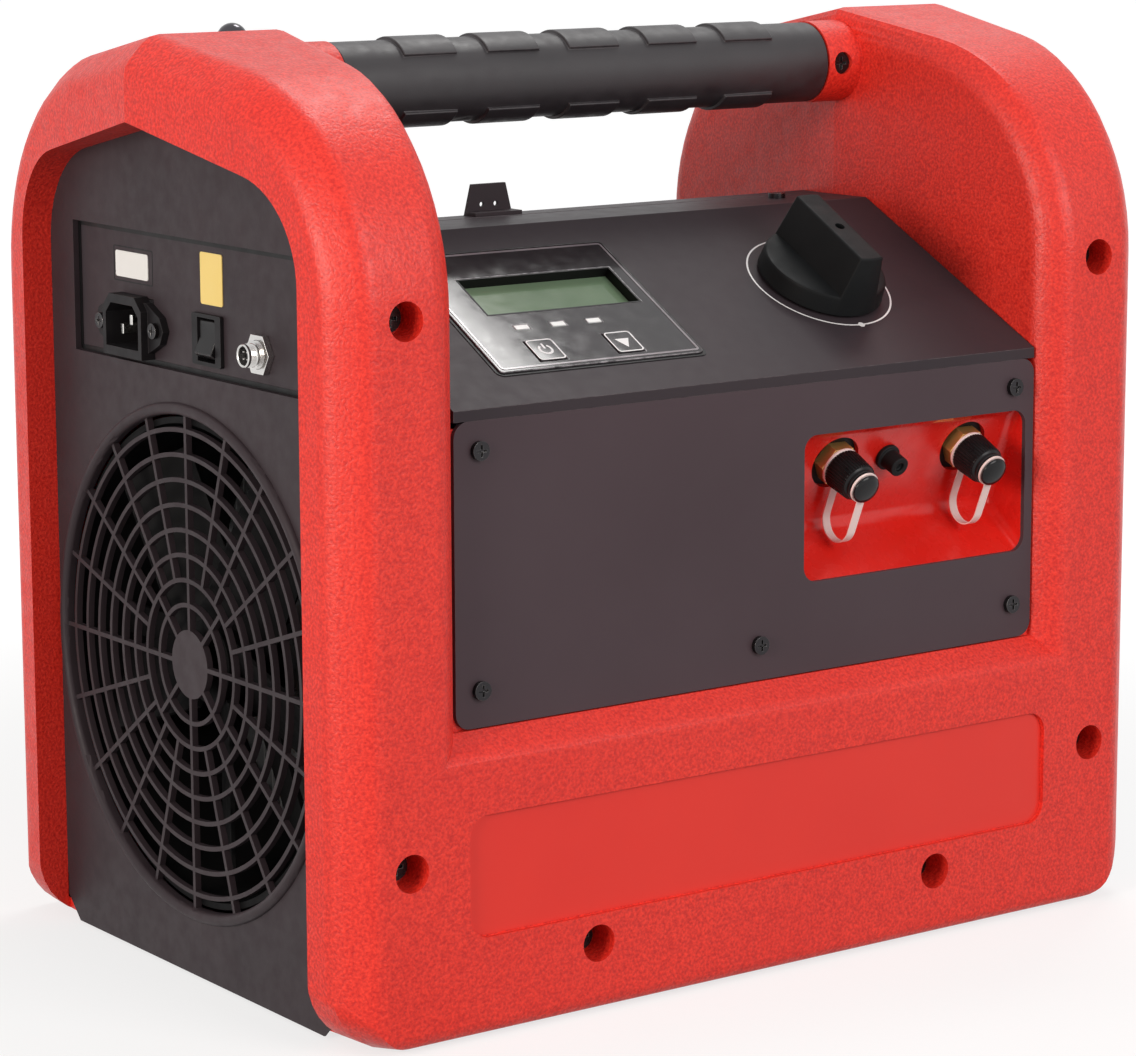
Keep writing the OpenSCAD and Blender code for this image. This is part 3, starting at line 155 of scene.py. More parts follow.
class Graph:
    """The node tree of a material or a world, with short calls to add nodes and links."""

    def __init__(self, owner: bpy.types.ID) -> None:
        """Starts an empty tree in a new material or world."""
        owner.use_nodes = True
        self.tree = owner.node_tree
        self.tree.nodes.clear()

    def add(self, kind: str, **settings: object) -> bpy.types.Node:
        """Adds a node.

        Args:
            kind: The node's type name without its leading ShaderNode.
            **settings: Attributes to set on the node.

        Returns:
            The new node.
        """
        node = self.tree.nodes.new("ShaderNode" + kind)
        for key, value in settings.items():
            setattr(node, key, value)
        return node

    def link(self, source: bpy.types.NodeSocket, target: bpy.types.NodeSocket) -> None:
        """Joins an output to an input."""
        self.tree.links.new(source, target)

    def noise(self, place: bpy.types.NodeSocket, pitch: float, detail: float = 2.0) -> bpy.types.NodeSocket:
        """Adds a noise.

        Args:
            place: The coordinates.
            pitch: The size of its blotches in millimetres.
            detail: How much finer noise lies on them.

        Returns:
            The noise's value.
        """
        node = self.add("TexNoise")
        node.inputs["Scale"].default_value = 1 / (pitch * MM)
        node.inputs["Detail"].default_value = detail
        self.link(place, node.inputs["Vector"])
        return node.outputs["Fac"]

    def between(self, value: bpy.types.NodeSocket, low: float, high: float) -> bpy.types.NodeSocket:
        """Spreads a noise over a range.

        Args:
            value: The noise's value.
            low: The lowest result.
            high: The highest result.

        Returns:
            The spread value.
        """
        return self.ranged("LINEAR", value, NOISE_SPAN, (low, high))

    def ranged(self, kind: str, value: bpy.types.NodeSocket, source: tuple[float, float],
               target: tuple[float, float]) -> bpy.types.NodeSocket:
        """Maps a value from one range to another.

        Args:
            kind: The way between the ends, as the node names it.
            value: The value.
            source: The two ends of its range.
            target: The two results.

        Returns:
            The mapped value.
        """
        node = self.add("MapRange", interpolation_type=kind)
        for name, number in zip(("From Min", "From Max", "To Min", "To Max"), (*source, *target)):
            node.inputs[name].default_value = number
        self.link(value, node.inputs["Value"])
        return node.outputs["Result"]

    def mix(self, share: bpy.types.NodeSocket, first: object, second: object) -> bpy.types.NodeSocket:
        """Mixes two colours.

        Args:
            share: The share of the second colour.
            first: A socket or a linear colour.
            second: A socket or a linear colour.

        Returns:
            The mixed colour.
        """
        node = self.add("Mix", data_type="RGBA")
        self.link(share, node.inputs[0])
        for socket, value in ((node.inputs[6], first), (node.inputs[7], second)):
            if isinstance(value, bpy.types.NodeSocket):
                self.link(value, socket)
            else:
                socket.default_value = value
        return node.outputs[2]

    def math(self, operation: str, first: bpy.types.NodeSocket,
             second: bpy.types.NodeSocket) -> bpy.types.NodeSocket:
        """Works out one value from two.

        Args:
            operation: What to do, as the node names it.
            first: The first value.
            second: The second value.

        Returns:
            The result.
        """
        node = self.add("Math", operation=operation)
        self.link(first, node.inputs[0])
        self.link(second, node.inputs[1])
        return node.outputs[0]

    def seen(self) -> bpy.types.NodeSocket:
        """Tells rays that show a backdrop from rays that light the machine.

        Returns:
            One for the camera's rays and for gloss and glass, and else zero.
        """
        rays = self.add("LightPath").outputs
        share = self.math("MAXIMUM", rays["Is Camera Ray"], rays["Is Glossy Ray"])
        return self.math("MAXIMUM", share, rays["Is Transmission Ray"])

    def bump(self, height: bpy.types.NodeSocket, strength: float, depth: float,
             below: Optional[bpy.types.NodeSocket] = None) -> bpy.types.NodeSocket:
        """Adds a bump.

        Args:
            height: The height from 0 to 1.
            strength: How strongly the bump shows.
            depth: The depth of the relief in millimetres.
            below: The normal of a coarser bump under this one.

        Returns:
            The bumped normal.
        """
        node = self.add("Bump")
        node.inputs["Strength"].default_value = strength
        node.inputs["Distance"].default_value = depth * MM
        self.link(height, node.inputs["Height"])
        if below is not None:
            self.link(below, node.inputs["Normal"])
        return node.outputs["Normal"]


@dataclass(frozen=True)
class Finish:
    """A material of the machine: its colour, its skin and how its edges wear.

    Attributes:
        name: The material's name.
        slot: The construction's slot that it belongs to; not used.
        colour: Its main colour.
        drift: The colour that it drifts to in broad patches.
        surface: How its skin is worked.
        roughness: Its mean roughness.
        spread: How far the roughness goes up and down.
        metallic: Its share of metal.
        pitch: The size of its relief in millimetres.
        depth: The depth of its relief in millimetres.
        relief: How strongly its relief shows.
        worn: The colour of its rubbed edges.
        wear: How far they are rubbed.
        blotch: The size of the broad patches in millimetres.
        coat: The weight of a clear coat.
        specular: The strength of its gloss.
        valley_shade: The colour between the crests of its grain, darker as painted shade.
        stretch: The scale of its relief along each axis.
    """

    name: str
    slot: str
    colour: Colour
    drift: Colour
    surface: Surface
    roughness: float
    spread: float = 0.08
    metallic: float = 0.0
    pitch: float = 1.0
    depth: float = 0.1
    relief: float = 0.3
    worn: Colour = (150, 150, 150)
    wear: float = 0.3
    blotch: float = 40.0
    coat: float = 0.0
    specular: float = 0.5
    valley_shade: Optional[Colour] = None
    stretch: Point = (1.0, 1.0, 1.0)

    def material(self) -> bpy.types.Material:
        """Returns the finish's node material, made at the first call."""
        made = bpy.data.materials.get(self.name)
        return made if made is not None else self._make()

    def _make(self) -> bpy.types.Material:
        """Builds the node tree.

        Returns:
            The new material.
        """
        material = bpy.data.materials.new(self.name)
        graph = Graph(material)
        place = graph.add("TexCoord").outputs["Object"]
        shader = graph.add("BsdfPrincipled")
        output = graph.add("OutputMaterial")
        graph.link(shader.outputs["BSDF"], output.inputs["Surface"])
        shader.inputs["Metallic"].default_value = self.metallic
        shader.inputs["Coat Weight"].default_value = self.coat
        shader.inputs["Coat Roughness"].default_value = COAT_ROUGHNESS
        shader.inputs["Specular IOR Level"].default_value = self.specular
        graph.link(self._tone(graph, place), shader.inputs["Base Color"])
        low = max(LEAST_ROUGHNESS, self.roughness - self.spread)
        high = min(1.0, self.roughness + self.spread)
        gloss = graph.noise(place, GLOSS_PITCH, GLOSS_DETAIL)
        graph.link(graph.between(gloss, low, high), shader.inputs["Roughness"])
        graph.link(self._skin(graph, place), shader.inputs["Normal"])
        return material

    def _tone(self, graph: Graph, place: bpy.types.NodeSocket) -> bpy.types.NodeSocket:
        """Adds the colour with its drift, its valleys darker as painted shade and its rubbed edges.

        Args:
            graph: The tree to add to.
            place: The object coordinates.

        Returns:
            The colour.
        """
        broad = graph.between(graph.noise(place, self.blotch, DRIFT_DETAIL), 0.0, 1.0)
        tone = graph.mix(broad, linear(self.colour), linear(self.drift))
        # Painted shade and highlight: the grain's valleys are mixed towards a darker colour, and its crests
        # keep the lighter main colour.
        if self.valley_shade is not None:
            crest_light = graph.between(graph.noise(place, self.pitch), 0.0, 1.0)
            tone = graph.mix(crest_light, linear(self.valley_shade), tone)
        edge = graph.add("Attribute", attribute_name="edge_wear").outputs["Fac"]
        patches = graph.between(graph.noise(place, RUB_PITCH, RUB_DETAIL), 0.0, self.wear)
        return graph.mix(graph.math("MULTIPLY", edge, patches), tone, linear(self.worn))

    def _skin(self, graph: Graph, place: bpy.types.NodeSocket) -> bpy.types.NodeSocket:
        """Adds the relief of the skin.

        Args:
            graph: The tree to add to.
            place: The object coordinates.

        Returns:
            The bumped normal.
        """
        mapping = graph.add("Mapping")
        mapping.inputs["Scale"].default_value = self.stretch
        graph.link(place, mapping.inputs["Vector"])
        spot = mapping.outputs["Vector"]
        coarse = self.pitch * SWELL_PITCH
        if self.surface is Surface.GRAIN:
            swell = graph.bump(graph.noise(spot, coarse, SOFT_DETAIL), self.relief * SWELL_RELIEF,
                               self.depth * SWELL_DEPTH)
            return graph.bump(graph.noise(spot, self.pitch), self.relief, self.depth, swell)
        if self.surface is Surface.CAST:
            rough = graph.bump(graph.noise(spot, coarse), self.relief, self.depth)
            return graph.bump(graph.noise(spot, self.pitch, FINE_DETAIL), self.relief,
                              self.depth * CAST_FINE_DEPTH, rough)
        detail = SOFT_DETAIL if self.surface is Surface.SMOOTH else FINE_DETAIL
        return graph.bump(graph.noise(spot, self.pitch, detail), self.relief, self.depth)


# The red is painted lighter on the grain's crests and darker in its valleys: painted highlight and painted
# shade.
RED = Finish("red_grained_moulding", "red_shell", (248, 60, 42), (241, 54, 38), Surface.GRAIN, 0.45, 0.06,
             pitch=1.15, depth=0.28, relief=0.8, worn=(246, 112, 88), wear=0.3, blotch=70,
             valley_shade=(199, 28, 21))
RED_SMOOTH = Finish("red_smooth_moulding", "red_shell", (226, 38, 28), (216, 32, 25), Surface.SMOOTH, 0.27,
                    0.05, pitch=9, depth=0.05, relief=0.2, worn=(240, 100, 84), wear=0.25, blotch=60)
RED_BADGE = Finish("red_satin_field", "red_shell", (230, 46, 32), (226, 42, 30), Surface.PEBBLE, 0.4, 0.02,
                   pitch=0.7, depth=0.05, relief=0.3, worn=(240, 100, 84), wear=0.25, blotch=60)
PANEL_BLACK = Finish("dark_powder_coat", "black_panel", (58, 49, 53), (50, 42, 46), Surface.PEBBLE, 0.5,
                     0.08, pitch=0.8, depth=0.06, relief=0.35, worn=(110, 102, 102), wear=0.3, specular=0.2)
PLATE_GREY = Finish("satin_grey_plate", "plate_grey", (74, 60, 65), (68, 54, 59), Surface.PEBBLE, 0.44,
                    0.06, pitch=0.5, depth=0.03, relief=0.25, worn=(140, 126, 128), wear=0.3, blotch=90,
                    specular=0.2)
DECK = Finish("satin_charcoal_deck", "deck_charcoal", (59, 51, 55), (53, 46, 50), Surface.PEBBLE, 0.46,
              0.03, pitch=0.5, depth=0.03, relief=0.2, worn=(136, 126, 128), wear=0.3, blotch=90,
              specular=0.14)
RUBBER = Finish("matt_grip_rubber", "black_rubber", (54, 49, 52), (66, 60, 63), Surface.PEBBLE, 0.62, 0.1,
                pitch=0.6, depth=0.08, relief=0.35, worn=(96, 90, 93), wear=0.3, blotch=24, specular=0.2)
GRIP = Finish("moulded_grip_rubber", "black_rubber", (36, 32, 35), (46, 42, 45), Surface.PEBBLE, 0.48, 0.08,
              pitch=0.6, depth=0.08, relief=0.35, worn=(84, 78, 81), wear=0.3, blotch=24)
BLACK_SCREW = Finish("black_oxide_screw", "black_screw", (44, 42, 44), (56, 54, 56), Surface.BRUSHED, 0.27,
                     0.08, metallic=0.85, pitch=0.4, depth=0.02, relief=0.2, worn=(150, 148, 146), wear=0.4)
CHROME = Finish("bright_plated_steel", "bright_steel", (222, 220, 216), (204, 202, 200), Surface.BRUSHED,
                0.24, 0.05, metallic=1.0, pitch=0.3, depth=0.01, relief=0.12, worn=(240, 240, 238), wear=0.4)
DOME_STEEL = Finish("dark_polished_steel", "bright_steel", (92, 90, 94), (76, 74, 78), Surface.SMOOTH, 0.12,
                    0.04, metallic=1.0, pitch=2, depth=0.01, relief=0.1, worn=(170, 168, 170), wear=0.4)
TUBE_STEEL = Finish("drawn_tube_steel", "tube_steel", (168, 170, 174), (150, 152, 156), Surface.BRUSHED,
                    0.32, 0.08, metallic=1.0, pitch=0.5, depth=0.02, relief=0.2, stretch=(0.08, 1, 1))
DARK_STEEL = Finish("dark_bracket_steel", "tube_steel", (20, 19, 20), (28, 26, 27), Surface.PEBBLE, 0.5,
                    0.08, metallic=0.3, pitch=0.6, depth=0.03, relief=0.2, specular=0.2)
BRASS = Finish("machined_brass", "port_brass", (214, 178, 108), (192, 152, 82), Surface.BRUSHED, 0.36, 0.07,
               metallic=0.75, pitch=0.4, depth=0.02, relief=0.2, worn=(246, 224, 160), wear=0.5)
STRAP_WHITE = Finish("soft_white_strap", "tether_white", (250, 226, 222), (242, 214, 209), Surface.SMOOTH,
                     0.36, 0.06, pitch=3, depth=0.04, relief=0.15, worn=(250, 244, 240), wear=0.3)
BLACK_PLASTIC = Finish("moulded_black_plastic", "black_plastic", (24, 23, 25), (32, 30, 32), Surface.PEBBLE,
                       0.46, 0.07, pitch=0.5, depth=0.04, relief=0.3, worn=(86, 82, 84), wear=0.35,
                       blotch=20, specular=0.16)
KNOB_BLACK = Finish("matt_knob_plastic", "black_plastic", (19, 20, 21), (24, 25, 26), Surface.PEBBLE, 0.56,
                    0.06, pitch=0.4, depth=0.04, relief=0.3, worn=(60, 60, 62), wear=0.3, blotch=20,
                    specular=0.12)
CAP_BLACK = Finish("cap_plastic", "black_plastic", (20, 19, 20), (28, 26, 28), Surface.SMOOTH, 0.3, 0.06,
                   pitch=2, depth=0.02, relief=0.15, worn=(70, 68, 70), wear=0.3, specular=0.22)
CAP_GLOSS = Finish("polished_cap_end", "black_plastic", (24, 23, 25), (16, 15, 17), Surface.SMOOTH, 0.12,
                   0.03, pitch=2, depth=0.01, relief=0.1, specular=0.26)
FILM = Finish("printed_display_film", "overlay_black", (44, 38, 41), (36, 31, 34), Surface.SMOOTH, 0.08,
              0.03, pitch=20, depth=0.02, relief=0.06, worn=(190, 184, 188), wear=0.7)
# The clear border is real, but its light grey is painted highlight: the light that its clear edge catches.
CLEAR_BORDER_HIGHLIGHT = Finish("clear_film_border_highlight", "overlay_black", (142, 132, 137), (112, 103, 108), Surface.SMOOTH,
                     0.12, 0.04, pitch=6, depth=0.02, relief=0.1, coat=0.6)
# Black of the printed label frame, also used as painted shade in the gaps round the display film and the
# inlet plate and on the window's walls.
BLACK_PRINT_AND_SHADE = Finish("black_print_and_painted_shade", "overlay_black", (12, 11, 12), (18, 17, 18), Surface.SMOOTH, 0.42, 0.06,
                pitch=2, depth=0.02, relief=0.15, specular=0.2)
LCD = Finish("unlit_display_glass", "display_green", (118, 140, 112), (106, 128, 102), Surface.SMOOTH, 0.1,
             0.03, pitch=18, depth=0.01, relief=0.04, blotch=30, specular=0.15)
# Darker than the other black plastic: painted shade of the fan inside the machine.
FAN_SHADE_BLACK = Finish("fan_plastic_in_painted_shade", "black_plastic", (13, 13, 14), (18, 17, 18), Surface.PEBBLE, 0.6,
                      0.08, pitch=0.6, depth=0.04, relief=0.3, worn=(40, 39, 40), wear=0.3, specular=0.1)
LAMP = Finish("frosted_lamp_lens", "lamp_clear", (246, 246, 244), (236, 238, 236), Surface.SMOOTH, 0.36,
              0.06, pitch=1.5, depth=0.03, relief=0.2)
KEY = Finish("embossed_key_film", "key_grey", (44, 38, 41), (36, 31, 34), Surface.SMOOTH, 0.1, 0.03,
             pitch=12, depth=0.02, relief=0.06, worn=(96, 90, 94), wear=0.3)
PRINT = Finish("white_print", "label_white", (242, 240, 240), (232, 230, 230), Surface.SMOOTH, 0.4, 0.06,
               pitch=0.8, depth=0.01, relief=0.1)
BOARD = Finish("green_circuit_board", "board_green", (34, 92, 50), (28, 78, 44), Surface.PEBBLE, 0.4, 0.08,
               pitch=1.2, depth=0.03, relief=0.2)
LABEL_WHITE = Finish("bare_white_label", "label_white", (250, 250, 250), (242, 242, 240), Surface.SMOOTH,
                     0.34, 0.06, pitch=5, depth=0.03, relief=0.15)
LABEL_YELLOW = Finish("bare_yellow_label", "label_yellow", (253, 224, 134), (248, 214, 118),
                      Surface.SMOOTH, 0.34, 0.06, pitch=5, depth=0.03, relief=0.15)
ALLOY = Finish("cast_alloy", "cast_alloy", (168, 172, 176), (146, 150, 154), Surface.CAST, 0.42, 0.1,
               metallic=0.9, pitch=0.9, depth=0.12, relief=0.35, worn=(220, 222, 224), wear=0.4)
COPPER = Finish("drawn_copper", "copper", (186, 112, 74), (160, 90, 58), Surface.BRUSHED, 0.28, 0.1,
                metallic=1.0, pitch=0.6, depth=0.02, relief=0.2)
BLACK_STEEL = Finish("black_coated_steel", "black_steel", (26, 26, 28), (36, 35, 36), Surface.PEBBLE, 0.46,
                     0.08, metallic=0.2, pitch=0.9, depth=0.05, relief=0.3, worn=(110, 108, 106), wear=0.3)


def deck_place(x: float, s: float, h: float = 0.0) -> Matrix:
    """Gives the frame of a point on the sloped control panel.

    Args:
        x: Sideways, in millimetres.
        s: Up the slope from its front edge.
        h: Out of the slope.

    Returns:
        The matrix from local millimetres, with Z out of the slope, to metres.
    """
    turn = Matrix.Rotation(math.radians(DECK_SLOPE), 4, "X")
    origin = Matrix.Translation((0, DECK_FRONT_Y * MM, DECK_FRONT_Z * MM))
    return origin @ turn @ Matrix.Scale(MM, 4) @ Matrix.Translation((x, s, h))


def port_place(x: float) -> Matrix:
    """Gives the frame of a port.

    Args:
        x: Sideways, in millimetres.

    Returns:
        The matrix from local millimetres, with Z out along the port's axis, to metres.
    """
    axes = (1, 0, 0), Vector(PORT_UP).normalized(), Vector(PORT_AXIS).normalized()
    turn = Matrix(axes).transposed().to_4x4()
    return Matrix.Translation((x * MM, PORT_Y * MM, PORT_Z * MM)) @ turn @ Matrix.Scale(MM, 4)


def inlet_place(y: float, z: float, out: float = 0.0) -> Matrix:
    """Gives the frame of a point on the inlet plate, with Z out to the left, from millimetres to metres."""
    turn = Matrix(((0, -1, 0), (0, 0, 1), (-1, 0, 0))).transposed().to_4x4()
    return Matrix.Translation(((INLET_FACE_X - out) * MM, y * MM, z * MM)) @ turn @ Matrix.Scale(MM, 4)


def verts_in(geom: Iterable[object]) -> list[bmesh.types.BMVert]:
    """Picks the vertices out of what an operator returns."""
    return [part for part in geom if isinstance(part, bmesh.types.BMVert)]


def edges_in(geom: Iterable[object]) -> list[bmesh.types.BMEdge]:
    """Picks the edges out of what an operator returns."""
    return [part for part in geom if isinstance(part, bmesh.types.BMEdge)]


def sharp_edges(shape: bmesh.types.BMesh) -> list[bmesh.types.BMEdge]:
    """Finds the edges that are sharp enough to be rounded."""
    least = math.radians(SHARP_ANGLE)
    return [e for e in shape.edges if e.is_manifold and e.calc_face_angle(0) > least]


def soften(shape: bmesh.types.BMesh, edges: list[bmesh.types.BMEdge], radius: float,
           segments: int) -> list[bmesh.types.BMFace]:
    """Rounds edges.

    Args:
        shape: The shape.
        edges: The edges to round.
        radius: The rounding in the shape's own unit.
        segments: The steps of the rounding.

    Returns:
        The faces of the rounding.
    """
    made = bmesh.ops.bevel(shape, geom=edges, offset=radius, offset_type="OFFSET", segments=segments,
                           profile=0.5, affect="EDGES", clamp_overlap=True, material=-1)
    return made["faces"]


def flatten(shape: bmesh.types.BMesh) -> None:
    """Joins the faces that lie in one plane."""
    bmesh.ops.dissolve_limit(shape, angle_limit=math.radians(FLAT_ANGLE), verts=shape.verts,
                             edges=shape.edges)


def cut_away(shape: bmesh.types.BMesh, at: Point, outwards: Point) -> list[bmesh.types.BMEdge]:
    """Cuts off what lies outside a plane and leaves the cut open.

    Args:
        shape: The closed shape.
        at: A point on the plane.
        outwards: The side that is cut off.

    Returns:
        The edges round the cut.
    """
    whole = [*shape.verts, *shape.edges, *shape.faces]
    cut = bmesh.ops.bisect_plane(shape, geom=whole, plane_co=at, plane_no=outwards, clear_outer=True)
    return edges_in(cut["geom_cut"])


class Bench:
    """Turns finished bmeshes into pieces that ride on the frame."""

    def __init__(self, frame: dict) -> None:
        """Keeps the loaded frame and the body of every node."""
        self.nodes: dict[str, bpy.types.Object] = frame["nodes"]
        self.body_of = {name: obj["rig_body"] for name, obj in self.nodes.items()}

    def piece(self, name: str, shape: bmesh.types.BMesh, finish: Finish, body: Optional[str] = "machine",
              replaced: Iterable[str] = ()) -> bpy.types.Object:
        """Makes a piece from a bmesh in metres.

        Args:
            name: The piece's name.
            shape: The finished shape, which is freed.
            finish: Its material.
            body: The body it rides on, or None where it rides on none.
            replaced: The construction nodes that it stands for.

        Returns:
            The new object.
        """
        mesh = bpy.data.meshes.new(name)
        shape.to_mesh(mesh)
        shape.free()
        mesh.shade_smooth()
        mesh.set_sharp_from_angle(angle=math.radians(SMOOTH_ANGLE))
        mesh.materials.append(finish.material())
        obj = bpy.data.objects.new(name, mesh)
        bpy.context.scene.collection.objects.link(obj)
        weighted = obj.modifiers.new("even_normals", "WEIGHTED_NORMAL")
        weighted.keep_sharp = True
        if replaced:
            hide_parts(*replaced)
        if body is not None:
            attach(obj, body)
        LOG.info("%s: %d faces", name, len(mesh.polygons))
        return obj

    def merged(self, node: str) -> bmesh.types.BMesh:
        """Copies a construction node with its triangles joined into whole faces.

        Args:
            node: The node's name.

        Returns:
            The copy, in metres.
        """
        shape = bmesh.new()
        shape.from_mesh(self.nodes[node].data)
        bmesh.ops.remove_doubles(shape, verts=shape.verts, dist=NODE_WELD * MM)
        flatten(shape)
        return shape

    def rounded(self, shape: bmesh.types.BMesh, radius: float, segments: int = 2) -> bmesh.types.BMesh:
        """Rounds the sharp edges of a shape.

        Args:
            shape: The shape in metres.
            radius: The rounding in millimetres.
            segments: The steps of the rounding.

        Returns:
            The same shape, its rounded faces marked for wear.
        """
        layer = shape.faces.layers.float.new("edge_wear")
        for face in soften(shape, sharp_edges(shape), radius * MM, segments):
            face[layer] = 1.0
        return shape

    def stand_in(self, node: str, shape: bmesh.types.BMesh, finish: Finish) -> bpy.types.Object:
        """Replaces a node by a finished shape in a finish and returns the piece."""
        return self.piece(node + "_dressed", shape, finish, self.body_of[node], (node,))

    def dress(self, node: str, finish: Finish, radius: float, segments: int = 2) -> bpy.types.Object:
        """Replaces a node by a copy with rounded edges in a finish and returns the piece."""
        return self.stand_in(node, self.rounded(self.merged(node), radius, segments), finish)

    def keep(self, node: str, finish: Finish) -> None:
        """Keeps a node as it is and gives it a finish.

        Args:
            node: The node's name.
            finish: Its material.
        """
        materials = self.nodes[node].data.materials
        materials.clear()
        materials.append(finish.material())


def flat_outline(width: float, length: float, corner: float, line: float) -> bmesh.types.BMesh:
    """Makes a flat rounded frame line about the origin.

    Args:
        width: Its outer width in millimetres.
        length: Its outer length.
        corner: Its outer corner radius.
        line: The width of the line.

    Returns:
        The flat frame in millimetres.
    """
    shape = rounded_plate(width, length, corner)
    inner = bmesh.ops.inset_region(shape, faces=list(shape.faces), thickness=line, use_boundary=True,
                                   use_even_offset=True)
    ring = set(inner["faces"])
    bmesh.ops.delete(shape, geom=[f for f in shape.faces if f not in ring], context="FACES")
    return shape


def rounded_plate(width: float, length: float, corner: float) -> bmesh.types.BMesh:
    """Makes a flat plate with rounded corners about the origin.

    Args:
        width: Its width in millimetres.
        length: Its length.
        corner: Its corner radius.

    Returns:
        The flat plate in millimetres.
    """
    shape = bmesh.new()
    bmesh.ops.create_grid(shape, x_segments=1, y_segments=1, size=0.5)
    bmesh.ops.scale(shape, vec=(width, length, 1), verts=shape.verts)
    bmesh.ops.bevel(shape, geom=list(shape.verts), offset=corner, offset_type="OFFSET", segments=5,
                    profile=0.5, affect="VERTICES", material=-1)
    return shape


def arc_band(radii: tuple[float, float], start: float, sweep: float, steps: int) -> bmesh.types.BMesh:
    """Makes a flat band along an arc about the origin.

    Args:
        radii: Its inner and outer radius in millimetres.
        start: Where it starts, in degrees.
        sweep: How far it goes round, in degrees.
        steps: The steps of the arc.

    Returns:
        The flat band in millimetres.
    """
    band = bmesh.new()
    ends = [band.verts.new((radius, 0, 0)) for radius in radii]
    edge = band.edges.new(ends)
    bmesh.ops.spin(band, geom=[*ends, edge], cent=(0, 0, 0), axis=(0, 0, 1), dvec=(0, 0, 0),
                   angle=math.radians(sweep), steps=steps, use_merge=False, use_duplicate=False)
    turn = Matrix.Rotation(math.radians(start), 3, "Z")
    bmesh.ops.rotate(band, cent=(0, 0, 0), matrix=turn, verts=band.verts)
    return band


def thicken(shape: bmesh.types.BMesh, height: float) -> bmesh.types.BMesh:
    """Raises a flat shape into a closed plate.

    Args:
        shape: Faces in the XY plane.
        height: The thickness along Z.

    Returns:
        The same shape, closed and facing outwards.
    """
    bmesh.ops.recalc_face_normals(shape, faces=shape.faces)
    raised = bmesh.ops.extrude_face_region(shape, geom=list(shape.faces), use_keep_orig=True)
    bmesh.ops.translate(shape, vec=(0, 0, height), verts=verts_in(raised["geom"]))
    bmesh.ops.recalc_face_normals(shape, faces=shape.faces)
    return shape


def turned(profile: Iterable[tuple[float, float]], steps: int = 48) -> bmesh.types.BMesh:
    """Turns a profile about Z.

    Args:
        profile: Radius and height pairs in millimetres, closed where both ends are on the axis.
        steps: The steps of the full turn.

    Returns:
        The closed shape.
    """
    shape = bmesh.new()
    verts = [shape.verts.new((radius, 0, height)) for radius, height in profile]
    edges = [shape.edges.new(pair) for pair in zip(verts, verts[1:])]
    bmesh.ops.spin(shape, geom=verts + edges, cent=(0, 0, 0), axis=(0, 0, 1), dvec=(0, 0, 0),
                   angle=2 * math.pi, steps=steps, use_merge=True, use_duplicate=False)
    bmesh.ops.remove_doubles(shape, verts=shape.verts, dist=TURNED_WELD)
    bmesh.ops.recalc_face_normals(shape, faces=shape.faces)
    return shape


def placed(shape: bmesh.types.BMesh, where: Matrix) -> bmesh.types.BMesh:
    """Moves a shape to its place and returns it."""
    bmesh.ops.transform(shape, matrix=where, verts=shape.verts)
    return shape


def joined(shapes: Iterable[bmesh.types.BMesh]) -> bmesh.types.BMesh:
    """Puts several shapes in one.

    Args:
        shapes: The shapes, which are freed.

    Returns:
        One shape with all their faces.
    """
    whole = bmesh.new()
    for shape in shapes:
        mesh = bpy.data.meshes.new("joined")
        shape.to_mesh(mesh)
        shape.free()
        whole.from_mesh(mesh)
        bpy.data.meshes.remove(mesh)
    return whole


@dataclass(frozen=True)
class Lamp:
    """A soft square lamp: its place and aim in metres, its side, its watts and its tint."""

    name: str
    at: Point
    aim: Point
    side: float
    watts: float
    tint: Point

    def build(self) -> None:
        """Hangs the lamp."""
        data = bpy.data.lights.new(self.name, "AREA")
        data.size = self.side
        data.energy = self.watts
        data.color = self.tint
        lamp = bpy.data.objects.new(self.name, data)
        turn = (Vector(self.at) - Vector(self.aim)).to_track_quat("Z", "Y").to_matrix().to_4x4()
        lamp.matrix_world = Matrix.Translation(self.at) @ turn
        bpy.context.scene.collection.objects.link(lamp)


